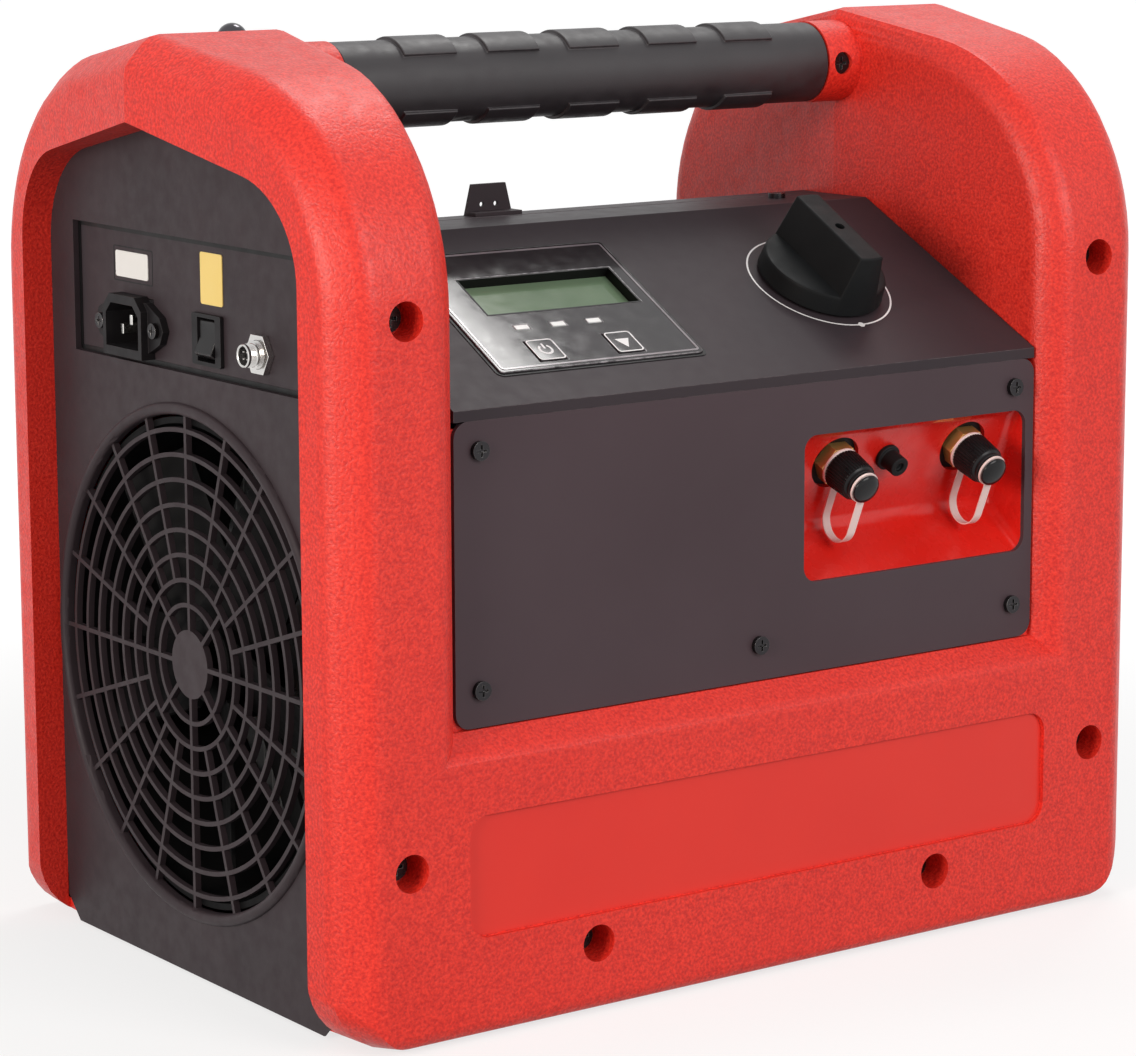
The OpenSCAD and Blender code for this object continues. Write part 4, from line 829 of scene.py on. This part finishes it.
@dataclass
class Studio:
    """The camera of the photograph, a pale floor and soft light."""

    azimuth: float = -35.87
    elevation: float = 9.92
    roll: float = -0.19
    eye: Point = (-0.8626, -1.1927, 0.4273)
    focal_px: float = 3764.1
    centre_px: tuple[float, float] = (576.5, 487.0)
    image: tuple[int, int] = (1136, 1056)
    sensor: float = 36.0
    surround: float = 0.36
    floor_size: float = 30.0
    floor_grey: float = 0.3
    fade_reach: tuple[float, float] = (0.3, 0.9)
    floor_glow: tuple[float, float] = (0.72, 0.9)
    lamps: tuple[Lamp, ...] = (
        Lamp("side_light", (-1.5, -0.45, 0.52), (0.0, 0.0, 0.17), 0.5, 13.5, (1.0, 0.91, 0.82)),
        Lamp("front_light", (0.35, -2.3, 1.15), (0.0, 0.0, 0.17), 1.4, 30.0, (1.0, 0.98, 0.96)),
        Lamp("back_light", (0.646, 0.404, 1.643), (-0.06, -0.068, 0.254), 0.5, 7.5, (1.0, 0.99, 0.97)),
    )

    def build(self) -> None:
        """Makes the camera, the world, the lamps and the floor."""
        bpy.context.scene.view_settings.view_transform = "Standard"
        self._camera()
        self._world()
        for lamp in self.lamps:
            lamp.build()
        self._floor()

    def _camera(self) -> None:
        """Places the camera at the photograph's view."""
        width, height = self.image
        data = bpy.data.cameras.new("photo_camera")
        data.sensor_fit = "HORIZONTAL"
        data.sensor_width = self.sensor
        data.lens = self.focal_px * self.sensor / width
        data.shift_x = (width / 2 - self.centre_px[0]) / width
        data.shift_y = (self.centre_px[1] - height / 2) / width
        camera = bpy.data.objects.new("photo_camera", data)
        az, el = math.radians(self.azimuth), math.radians(self.elevation)
        back = Vector((math.sin(az) * math.cos(el), -math.cos(az) * math.cos(el), math.sin(el)))
        turn = back.to_track_quat("Z", "Y").to_matrix().to_4x4()
        tilt = Matrix.Rotation(math.radians(self.roll), 4, "Z")
        camera.matrix_world = Matrix.Translation(self.eye) @ turn @ tilt
        bpy.context.scene.collection.objects.link(camera)
        bpy.context.scene.camera = camera

    def _world(self) -> None:
        """Makes a white surround that lights the machine softly."""
        world = bpy.data.worlds.new("studio_world")
        bpy.context.scene.world = world
        graph = Graph(world)
        blend = graph.add("MixShader")
        graph.link(graph.seen(), blend.inputs[0])
        for socket, strength in ((blend.inputs[1], self.surround), (blend.inputs[2], 1.0)):
            light = graph.add("Background")
            light.inputs["Color"].default_value = WHITE
            light.inputs["Strength"].default_value = strength
            graph.link(light.outputs[0], socket)
        output = graph.add("OutputWorld")
        graph.link(blend.outputs[0], output.inputs["Surface"])

    def _floor(self) -> None:
        """Lays a white floor that keeps the machine's shadow."""
        shape = bmesh.new()
        bmesh.ops.create_grid(shape, x_segments=1, y_segments=1, size=self.floor_size)
        mesh = bpy.data.meshes.new("studio_floor")
        shape.to_mesh(mesh)
        shape.free()
        mesh.materials.append(self._floor_white())
        floor = bpy.data.objects.new("studio_floor", mesh)
        bpy.context.scene.collection.objects.link(floor)

    def _floor_white(self) -> bpy.types.Material:
        """Makes the floor's material, whose glow is only for rays that show it.

        Returns:
            The material.
        """
        material = bpy.data.materials.new("studio_floor_white")
        graph = Graph(material)
        diffuse = graph.add("BsdfDiffuse")
        diffuse.inputs["Color"].default_value = (self.floor_grey, self.floor_grey, self.floor_grey, 1.0)
        away = graph.add("VectorMath", operation="LENGTH")
        graph.link(graph.add("TexCoord").outputs["Object"], away.inputs[0])
        fade = graph.ranged("SMOOTHSTEP", away.outputs["Value"], self.fade_reach, self.floor_glow)
        glow = graph.add("Emission")
        graph.link(graph.math("MULTIPLY", graph.seen(), fade), glow.inputs["Strength"])
        both = graph.add("AddShader")
        graph.link(diffuse.outputs[0], both.inputs[0])
        graph.link(glow.outputs[0], both.inputs[1])
        output = graph.add("OutputMaterial")
        graph.link(both.outputs[0], output.inputs["Surface"])
        return material


@dataclass
class Housing:
    """The red half shells with the panels, plates and covers between them."""

    bench: Bench
    shell_edge: float = 0.9
    sheet_edge: float = 0.5
    apron_corner: float = 9.0
    apron_band: float = 0.2
    recess_edge: float = 0.5
    port_fillet: float = 5.0
    fillet_angle: float = 20.0
    fillet_length: float = 14.0
    fillet_inset: float = 2.0
    field_size: tuple[float, float] = (273.6, 43.6)
    field_corner: float = 7.0
    field_t: float = 0.12
    field_centre: float = 60.5
    field_depth: float = 123.2

    def build(self) -> None:
        """Dresses the shells and the sheet parts."""
        for node in ("front_shell", "rear_shell"):
            self.bench.dress(node, RED, self.shell_edge, segments=3)
        self._port_recess()
        self._badge_fields()
        for node in ("left_side_panel", "right_side_panel"):
            self._side_panel(node)
        for node in ("inlet_plate", "hose_tab", "base_pan"):
            self.bench.dress(node, PANEL_BLACK, self.sheet_edge)
        for node in ("front_plate", "rear_plate"):
            self.bench.dress(node, PLATE_GREY, self.sheet_edge)
        for node in ("control_panel", "rear_cover"):
            self.bench.dress(node, DECK, self.sheet_edge)
        self.bench.keep("feet", RUBBER)
        self.bench.keep("port_bracket", DARK_STEEL)

    def _side_panel(self, node: str) -> None:
        """Dresses a side panel, with its lower corners cut off as the shells beside them turn in.

        Args:
            node: The panel's node.
        """
        shape = self.bench.merged(node)
        floor = min(v.co.z for v in shape.verts)
        reach = max(abs(v.co.y) for v in shape.verts if v.co.z < floor + self.apron_band * MM)
        for side in (-1.0, 1.0):
            spot = (0.0, side * (reach - self.apron_corner * MM), floor)
            rim = cut_away(shape, spot, (0.0, side, -1.0))
            bmesh.ops.holes_fill(shape, edges=rim, sides=0)
        self.bench.stand_in(node, self.bench.rounded(shape, self.sheet_edge), PANEL_BLACK)

    def _port_recess(self) -> None:
        """Dresses the port recess with wide fillets between its walls."""
        shape = self.bench.merged("port_housing")
        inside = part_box("port_housing")[0].y + self.fillet_inset * MM
        hollow = [e for e in shape.edges if e.is_manifold and not e.is_convex
                  and e.calc_face_angle(0) > math.radians(self.fillet_angle)
                  and e.calc_length() > self.fillet_length * MM and max(v.co.y for v in e.verts) > inside]
        soften(shape, hollow, self.port_fillet * MM, segments=6)
        self.bench.piece("port_recess", self.bench.rounded(shape, self.recess_edge), RED_SMOOTH, "machine",
                         ("port_housing",))

    def _badge_fields(self) -> None:
        """Lays a smooth bare field in the recess of each half shell."""
        upright = Matrix.Rotation(math.pi / 2, 4, "X") @ Matrix.Scale(MM, 4)
        place = Matrix.Translation((0, -self.field_depth * MM, self.field_centre * MM)) @ upright
        for name, turn in (("front_field", 0.0), ("rear_field", math.pi)):
            plate = thicken(rounded_plate(*self.field_size, self.field_corner), self.field_t)
            self.bench.piece(name, placed(plate, Matrix.Rotation(turn, 4, "Z") @ place), RED_BADGE)


@dataclass
class CarryHandle:
    """The rubber grip and the tube inside it."""

    bench: Bench
    edge: float = 0.5

    def build(self) -> None:
        """Dresses the grip and its tube."""
        self.bench.dress("handle_grip", GRIP, self.edge, segments=3)
        self.bench.keep("handle_tube", TUBE_STEEL)


@dataclass
class Fasteners:
    """The screws of the shells, the plates and the arch."""

    bench: Bench
    edge: float = 0.25

    def build(self) -> None:
        """Dresses every screw."""
        for node in ("shell_screws", "plate_screws", "inlet_screws"):
            self.bench.dress(node, BLACK_SCREW, self.edge)
        self.bench.dress("arch_screw", DOME_STEEL, self.edge, segments=3)


@dataclass
class DisplayUnit:
    """The film over the display with its window, lamps and two keys."""

    bench: Bench
    left: float = -106.0
    low: float = 18.0
    width: float = 92.0
    length: float = 74.5
    top: float = 1.0
    border_inset: float = 2.6
    border_corner: float = 1.6
    border_line: float = 0.9
    border_t: float = 0.2
    border_sink: float = 0.06
    gap_shade: float = 1.3
    gap_shade_corner: float = 3.0
    gap_shade_t: float = 0.35
    gap_shade_sink: float = 0.05
    window: tuple[float, float] = (70.0, 23.6)
    window_at: tuple[float, float] = (-56.0, 63.8)
    window_depth: float = 3.0
    sleeve_gap: float = 0.06
    sleeve_corner: float = 0.5
    sleeve_t: float = 0.6
    sleeve_foot: float = 0.03
    sleeve_drop: float = 0.08
    key_size: tuple[float, float] = (11.7, 12.3)
    key_corner: float = 1.6
    key_row: float = 28.4
    key_top: float = 1.38
    power_at: float = -80.0
    scroll_at: float = -44.8
    line: float = 0.55
    print_t: float = 0.06
    sign_radii: tuple[float, float] = (2.1, 3.0)
    sign_start: float = 125.0
    sign_sweep: float = 290.0
    bar_size: tuple[float, float] = (0.9, 3.2)
    bar_corner: float = 0.3
    bar_rise: float = 2.0
    triangle_radius: float = 3.6

    def build(self) -> None:
        """Makes the film, the display, the lamps and the keys."""
        self.bench.dress("display_overlay", FILM, radius=0.35, segments=3)
        self.bench.dress("display_module", LCD, radius=0.1)
        self.bench.dress("indicator_lamps", LAMP, radius=0.15)
        self.bench.dress("power_key", KEY, radius=0.4)
        self.bench.dress("scroll_key", KEY, radius=0.4)
        self.bench.keep("control_board", BOARD)
        self._frames()
        self._icon("power_icon", self.power_at, "power_key", self._power_sign())
        self._icon("scroll_icon", self.scroll_at, "scroll_key", self._triangle())

    def _frames(self) -> None:
        """Makes the clear border, whose light grey is painted highlight, a black ring round the film as
        painted shade of the gap there, and a black sleeve in the window as painted shade of its walls.
        """
        x, s = self.left + self.width / 2, self.low + self.length / 2
        # The light grey ring is painted highlight along the clear border of the film.
        border = flat_outline(self.width - self.border_inset, self.length - self.border_inset,
                              self.border_corner, self.border_line)
        place = deck_place(x, s, self.top - self.border_sink)
        self.bench.piece("display_border_highlight", placed(thicken(border, self.border_t), place), CLEAR_BORDER_HIGHLIGHT)
        # A black ring round the film: painted shade of the gap between the film and the panel.
        around = 2 * self.gap_shade
        gap_shade = flat_outline(self.width + around, self.length + around, self.gap_shade_corner, self.gap_shade)
        place = deck_place(x, s, -self.gap_shade_sink)
        self.bench.piece("display_gap_shade", placed(thicken(gap_shade, self.gap_shade_t), place), BLACK_PRINT_AND_SHADE)
        # A black sleeve along the window's walls: painted shade of these walls.
        wide, high = self.window
        shade_sleeve = flat_outline(wide - self.sleeve_gap, high - self.sleeve_gap, self.sleeve_corner,
                              self.sleeve_t)
        tall = thicken(shade_sleeve, self.window_depth + self.top - self.sleeve_drop)
        place = deck_place(*self.window_at, self.sleeve_foot - self.window_depth)
        self.bench.piece("window_shade_sleeve", placed(tall, place), BLACK_PRINT_AND_SHADE)

    def _icon(self, name: str, x: float, body: str, sign: bmesh.types.BMesh) -> None:
        """Prints a key's outline and its sign on the key's top.

        Args:
            name: The print's name.
            x: Where the key is, sideways.
            body: The key's body.
            sign: The flat sign in millimetres, which is freed.
        """
        outline = flat_outline(*self.key_size, self.key_corner, self.line)
        whole = thicken(joined((outline, sign)), self.print_t)
        self.bench.piece(name, placed(whole, deck_place(x, self.key_row, self.key_top)), PRINT, body)

    def _power_sign(self) -> bmesh.types.BMesh:
        """Draws the arc and bar of a power sign.

        Returns:
            The flat sign in millimetres.
        """
        arc = arc_band(self.sign_radii, self.sign_start, self.sign_sweep, steps=28)
        bar = rounded_plate(*self.bar_size, self.bar_corner)
        bmesh.ops.translate(bar, vec=(0, self.bar_rise, 0), verts=bar.verts)
        return joined((arc, bar))

    def _triangle(self) -> bmesh.types.BMesh:
        """Draws a triangle that points down.

        Returns:
            The flat triangle in millimetres.
        """
        shape = bmesh.new()
        bmesh.ops.create_circle(shape, cap_ends=True, segments=3, radius=self.triangle_radius)
        bmesh.ops.rotate(shape, cent=(0, 0, 0), matrix=Matrix.Rotation(math.pi, 3, "Z"), verts=shape.verts)
        return shape


@dataclass
class SelectorDial:
    """The selector knob and the printed ring around it."""

    bench: Bench
    x: float = 67.7
    s: float = 55.0
    skirt: Profile = ((0, 0.8), (24.9, 0.8), (25.37, 1.3), (24.77, 7.6), (24.2, 8.6), (23.2, 9.0),
                      (12.0, 9.2), (0, 9.3))
    knob_steps: int = 96
    wall_low: tuple[float, float] = (25.42, 1.2)
    wall_high: tuple[float, float] = (23.05, 26.0)
    flank_low: tuple[float, float] = (9.0, 9.0)
    flank_high: tuple[float, float] = (5.5, 26.0)
    fin_edge: float = 0.9
    top_share: float = 0.001
    hole_radius: float = 2.0
    hole_depth: float = 5.0
    ring_radius: float = 29.7
    ring_line: float = 0.7
    ring_start: float = 80.0
    ring_sweep: float = 300.0
    ring_t: float = 0.06
    dot_radius: float = 1.4
    dot_t: float = 0.08
    print_sink: float = 0.01

    def build(self) -> None:
        """Makes the knob and its ring."""
        knob = joined((turned(self.skirt, self.knob_steps), self._fin()))
        self.bench.piece("selector_grip", placed(knob, deck_place(self.x, self.s)), KNOB_BLACK, "selector",
                         ("selector_knob",))
        self.bench.keep("valve_stem", TUBE_STEEL)
        self.bench.keep("valve_body", BRASS)
        self._ring()

    def _fin(self) -> bmesh.types.BMesh:
        """Makes the bar across the knob, flush with the skirt at its ends.

        Returns:
            The bar in the knob's millimetres, with a hole in its top.
        """
        wall = (0, self.wall_low[1]), self.wall_low, self.wall_high, (0, self.wall_high[1])
        fin = turned(wall, self.knob_steps)
        lean, rise = self.flank_low[0] - self.flank_high[0], self.flank_high[1] - self.flank_low[1]
        for side in (1, -1):
            rim = cut_away(fin, (side * self.flank_low[0], 0, self.flank_low[1]), (side * rise, 0, lean))
            bmesh.ops.contextual_create(fin, geom=rim)
        flatten(fin)
        bmesh.ops.recalc_face_normals(fin, faces=fin.faces)
        soften(fin, sharp_edges(fin), self.fin_edge, segments=3)
        self._drill(fin)
        bmesh.ops.recalc_face_normals(fin, faces=fin.faces)
        return fin

    def _drill(self, fin: bmesh.types.BMesh) -> None:
        """Sinks a round hole in the fin's top, the largest of its highest faces.

        Args:
            fin: The fin.
        """
        top = max(fin.faces, key=lambda f: f.calc_center_median().z + f.calc_area() * self.top_share)
        outer, height = list(top.edges), top.calc_center_median().z
        bmesh.ops.delete(fin, geom=[top], context="FACES_ONLY")
        made = bmesh.ops.create_circle(fin, cap_ends=False, segments=24, radius=self.hole_radius,
                                       matrix=Matrix.Translation((0, 0, height)))
        rim = [e for e in fin.edges if e.verts[0] in made["verts"] and e.verts[1] in made["verts"]]
        bmesh.ops.triangle_fill(fin, use_beauty=True, use_dissolve=False, edges=outer + rim)
        sunk = bmesh.ops.extrude_edge_only(fin, edges=rim)
        bmesh.ops.translate(fin, vec=(0, 0, -self.hole_depth), verts=verts_in(sunk["geom"]))
        bmesh.ops.contextual_create(fin, geom=edges_in(sunk["geom"]))

    def _ring(self) -> None:
        """Prints the ring with its mark on the panel."""
        radii = self.ring_radius - self.ring_line, self.ring_radius
        ring = arc_band(radii, self.ring_start, self.ring_sweep, steps=72)
        dot = bmesh.new()
        bmesh.ops.create_circle(dot, cap_ends=True, segments=20, radius=self.dot_radius)
        bmesh.ops.translate(dot, vec=(0, -self.ring_radius + self.ring_line / 2, 0), verts=dot.verts)
        whole = joined((thicken(ring, self.ring_t), thicken(dot, self.dot_t)))
        self.bench.piece("dial_ring", placed(whole, deck_place(self.x, self.s, -self.print_sink)), PRINT)


@dataclass
class Port:
    """A brass port with its knurled cap and the strap that keeps the cap."""

    bench: Bench
    name: str
    x: float
    fitting_edge: float = 0.3
    band: Profile = ((6.1, 18.3), (6.35, 18.5), (6.35, 19.0), (6.1, 19.2), (4.9, 19.2), (4.9, 18.3),
                     (6.1, 18.3))
    shoulder: Profile = ((0, 15.0), (7.2, 15.0), (7.25, 15.5), (6.9, 16.0), (6.3, 16.3), (6.25, 16.6),
                         (6.6, 16.85), (6.7, 17.2), (6.6, 17.6), (6.2, 17.9), (0, 17.95))
    dome: Profile = ((0, 17.0), (4.6, 17.0), (4.6, 19.5), (5.45, 19.55), (5.85, 19.75), (5.9, 20.1),
                     (5.7, 20.5), (4.8, 21.1), (3.4, 21.42), (1.7, 21.57), (0, 21.6))
    neck: Profile = ((7.9, 3.05), (8.2, 3.3), (8.2, 4.1), (7.9, 4.35), (5.9, 4.35), (5.9, 3.05), (7.9, 3.05))
    ribs: int = 40
    rib_radius: float = 8.2
    rib_depth: float = 0.945
    mouth: float = 4.75
    skirt_steps: Profile = ((1.015, 0.5), (0.925, 9.6), (0.965, 0.45))
    bore: float = 5.6
    bore_end: float = 14.6
    strap_w: float = 3.6
    strap_t: float = 0.9
    strap_foot: float = -6.5
    strap_tip: float = -5.6
    bend_from: float = 4.6
    bend_to: float = 18.2
    loop_radius: float = 7.55
    loop_centre: tuple[float, float] = (-19.7, 11.25)
    loop_steps: int = 24

    def build(self) -> None:
        """Dresses the fitting, the cap, its ring and the strap."""
        place = port_place(self.x)
        body = self.name + "_cap"
        ring = body + "_ring"
        self.bench.dress(self.name + "_fitting", BRASS, self.fitting_edge)
        self.bench.piece(body + "_band", placed(turned(self.band), place), STRAP_WHITE, ring, (ring,))
        self.bench.piece(body + "_knurled", placed(self._cap(), place), CAP_BLACK, body, (body,))
        self.bench.piece(body + "_dome", placed(turned(self.dome), place), CAP_GLOSS, body)
        strap = self.bench.piece(self.name + "_strap", placed(self._strap(), place), STRAP_WHITE, None,
                                 (self.name + "_tether",))
        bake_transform(strap)

    def _cap(self) -> bmesh.types.BMesh:
        """Makes the knurled skirt with its smooth shoulder and its thread bore.

        Returns:
            The cap in port millimetres.
        """
        skirt = bmesh.new()
        made = bmesh.ops.create_circle(skirt, cap_ends=False, segments=4 * self.ribs, radius=self.rib_radius)
        rim = sorted(made["verts"], key=lambda v: math.atan2(v.co.y, v.co.x))
        grooves = [v for k, v in enumerate(rim) if k % 4 in (0, 1)]
        bmesh.ops.scale(skirt, vec=(self.rib_depth, self.rib_depth, 1), verts=grooves)
        bmesh.ops.translate(skirt, vec=(0, 0, self.mouth), verts=skirt.verts)
        mouth = list(skirt.edges)
        edges = mouth
        for scale, rise in self.skirt_steps:
            grown = bmesh.ops.extrude_edge_only(skirt, edges=edges)["geom"]
            edges = edges_in(grown)
            bmesh.ops.scale(skirt, vec=(scale, scale, 1), verts=verts_in(grown))
            bmesh.ops.translate(skirt, vec=(0, 0, rise), verts=verts_in(grown))
        bmesh.ops.contextual_create(skirt, geom=edges)
        edges = mouth
        for height in (self.mouth, self.bore_end):
            grown = bmesh.ops.extrude_edge_only(skirt, edges=edges)["geom"]
            edges = edges_in(grown)
            for vert in verts_in(grown):
                spot = vert.co.xy.normalized() * self.bore
                vert.co = (spot.x, spot.y, height)
        bmesh.ops.contextual_create(skirt, geom=edges)
        bmesh.ops.recalc_face_normals(skirt, faces=skirt.faces)
        return joined((skirt, turned(self.shoulder)))

    def _strap(self) -> bmesh.types.BMesh:
        """Makes the neck ring and the looped strap.

        Returns:
            Both in port millimetres.
        """
        y, h = self.loop_centre
        low, high = h - self.loop_radius, h + self.loop_radius
        route = [(self.strap_foot, low), (y, low)]
        for step in range(1, self.loop_steps + 1):
            angle = math.radians(-90 - 180 * step / self.loop_steps)
            route.append((y + self.loop_radius * math.cos(angle), h + self.loop_radius * math.sin(angle)))
        route.append((self.strap_tip, high))
        band = bmesh.new()
        half = self.strap_w / 2
        edges = [band.edges.new([band.verts.new((side, *route[0])) for side in (-half, half)])]
        for (y, h), (next_y, next_h) in zip(route, route[1:]):
            grown = bmesh.ops.extrude_edge_only(band, edges=edges)["geom"]
            verts = verts_in(grown)
            edges = [e for e in edges_in(grown) if e.verts[0] in verts and e.verts[1] in verts]
            bmesh.ops.translate(band, vec=(0, next_y - y, next_h - h), verts=verts)
        bmesh.ops.solidify(band, geom=list(band.faces), thickness=self.strap_t / 2)
        bmesh.ops.recalc_face_normals(band, faces=band.faces)
        return joined((turned(self.neck), band))


@dataclass
class InletGroup:
    """The mains inlet, the breaker and the signal connector on the inlet plate."""

    bench: Bench
    groove_size: tuple[float, float] = (163.8, 49.8)
    groove_z: float = 256.0
    groove_corner: float = 1.5
    groove_line: float = 1.9
    groove_t: float = 0.3
    groove_sink: float = 0.05
    label_at: tuple[float, float] = (40.2, 266.9)
    label_frame: tuple[float, float] = (29.4, 13.4)
    label_corner: float = 0.8
    label_line: float = 0.45
    label_t: float = 0.1
    label_sink: float = 0.02
    signal_at: tuple[float, float] = (-52.3, 243.6)
    barrel_foot: Profile = ((0, -14), (5.1, -14))
    barrel_step: Profile = ((5.1, 4.4), (4.4, 4.55))
    barrel_mouth: Profile = ((4.3, 7.25), (4.3, 8.1), (4.05, 8.4), (3.7, 8.4), (3.4, 8.1), (3.4, 3.0),
                             (0, 3.0))
    flange: Profile = ((0, -4.5), (7, -4.5), (7, -1.55), (0, -1.55))
    core: Profile = ((0, 2.8), (3.3, 2.8), (3.3, 4.9), (3.0, 5.2), (0, 5.2))
    pin: Profile = ((0, 5.0), (0.4, 5.0), (0.4, 7.0), (0.2, 7.4), (0, 7.4))
    pin_circle: float = 1.8
    pin_count: int = 4
    thread_pitch: float = 0.5
    shank_thread: tuple[float, float, float, int] = (5.1, 4.75, 2.5, 4)
    tip_thread: tuple[float, float, float, int] = (4.3, 4.0, 4.75, 5)

    def build(self) -> None:
        """Dresses the parts of the inlet plate."""
        self.bench.dress("mains_inlet", BLACK_PLASTIC, radius=0.6, segments=3)
        self.bench.dress("inlet_pins", CHROME, radius=0.3)
        self.bench.dress("breaker_body", BLACK_PLASTIC, radius=0.4)
        self.bench.dress("breaker_rocker", CAP_BLACK, radius=0.5, segments=3)
        self.bench.dress("connector_nut", CHROME, radius=0.4)
        self.bench.keep("rating_label", LABEL_WHITE)
        self.bench.keep("caution_label", LABEL_YELLOW)
        # A black ring where the inlet plate meets its window: painted shade of the groove between them.
        groove_shade = flat_outline(*self.groove_size, self.groove_corner, self.groove_line)
        place = inlet_place(0, self.groove_z, -self.groove_sink)
        self.bench.piece("window_groove_shade", placed(thicken(groove_shade, self.groove_t), place), BLACK_PRINT_AND_SHADE)
        frame = flat_outline(*self.label_frame, self.label_corner, self.label_line)
        place = inlet_place(*self.label_at, -self.label_sink)
        self.bench.piece("label_frame", placed(thicken(frame, self.label_t), place), BLACK_PRINT_AND_SHADE)
        self._connector()

    def _thread(self, crest: float, root: float, start: float, turns: int) -> Profile:
        """Draws the side view of a screw thread.

        Args:
            crest: Its outer radius in millimetres.
            root: Its inner radius.
            start: The height of its first crest.
            turns: How many crests it has.

        Returns:
            Its points, each crest followed by its root.
        """
        rise = self.thread_pitch
        return tuple(spot for k in range(turns)
                     for spot in ((crest, start + rise * k), (root, start + rise * (k + 0.5))))

    def _connector(self) -> None:
        """Makes the signal connector with its thread, its deep bore and its contacts."""
        place = inlet_place(*self.signal_at)
        shank, tip = self._thread(*self.shank_thread), self._thread(*self.tip_thread)
        barrel = turned((*self.barrel_foot, *shank, *self.barrel_step, *tip, *self.barrel_mouth))
        self.bench.piece("signal_barrel", placed(joined((barrel, turned(self.flange))), place), CHROME,
                         "machine", ("signal_connector",))
        self.bench.piece("signal_core", placed(turned(self.core, steps=32), place), BLACK_PLASTIC)
        pins = []
        for k in range(self.pin_count):
            turn = Matrix.Rotation(2 * math.pi * (k + 0.5) / self.pin_count, 4, "Z")
            where = turn @ Matrix.Translation((self.pin_circle, 0, 0))
            pins.append(placed(turned(self.pin, steps=12), where))
        self.bench.piece("signal_pins", placed(joined(pins), place), CHROME)


@dataclass
class Internals:
    """The fan, the condenser and the compressor inside."""

    bench: Bench
    kept: dict[str, Finish] = field(default_factory=lambda: {
        "fan_motor": TUBE_STEEL, "condenser_core": ALLOY, "condenser_tube": COPPER, "motor_housing": ALLOY,
        "crankshaft": TUBE_STEEL, "crankcase": ALLOY, "cylinder_head": ALLOY, "compressor_base": BLACK_STEEL,
        "isolators": RUBBER, "run_capacitor": TUBE_STEEL, "pressure_switch": BRASS, "gas_pipes": COPPER,
    })

    def build(self) -> None:
        """Gives every inside part its finish."""
        for node, finish in self.kept.items():
            self.bench.keep(node, finish)
        self.bench.dress("vent_nipple", KNOB_BLACK, radius=0.5, segments=3)
        # The fan's shroud and impeller take a black darkened as painted shade of the machine's inside.
        self.bench.dress("fan_shroud", FAN_SHADE_BLACK, radius=0.4)
        self.bench.dress("fan_impeller", FAN_SHADE_BLACK, radius=0.3)


def main() -> None:
    """Builds the machine's looks."""
    logging.basicConfig(level=logging.INFO, format="%(message)s")
    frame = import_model()
    Studio().build()
    bench = Bench(frame)
    ports = Port(bench, "inlet", INLET_PORT_X), Port(bench, "outlet", OUTLET_PORT_X)
    for part in (Housing(bench), CarryHandle(bench), Fasteners(bench), DisplayUnit(bench),
                 SelectorDial(bench), *ports, InletGroup(bench), Internals(bench)):
        part.build()
        LOG.info("built %s", type(part).__name__)


if __name__ == "__main__":
    main()
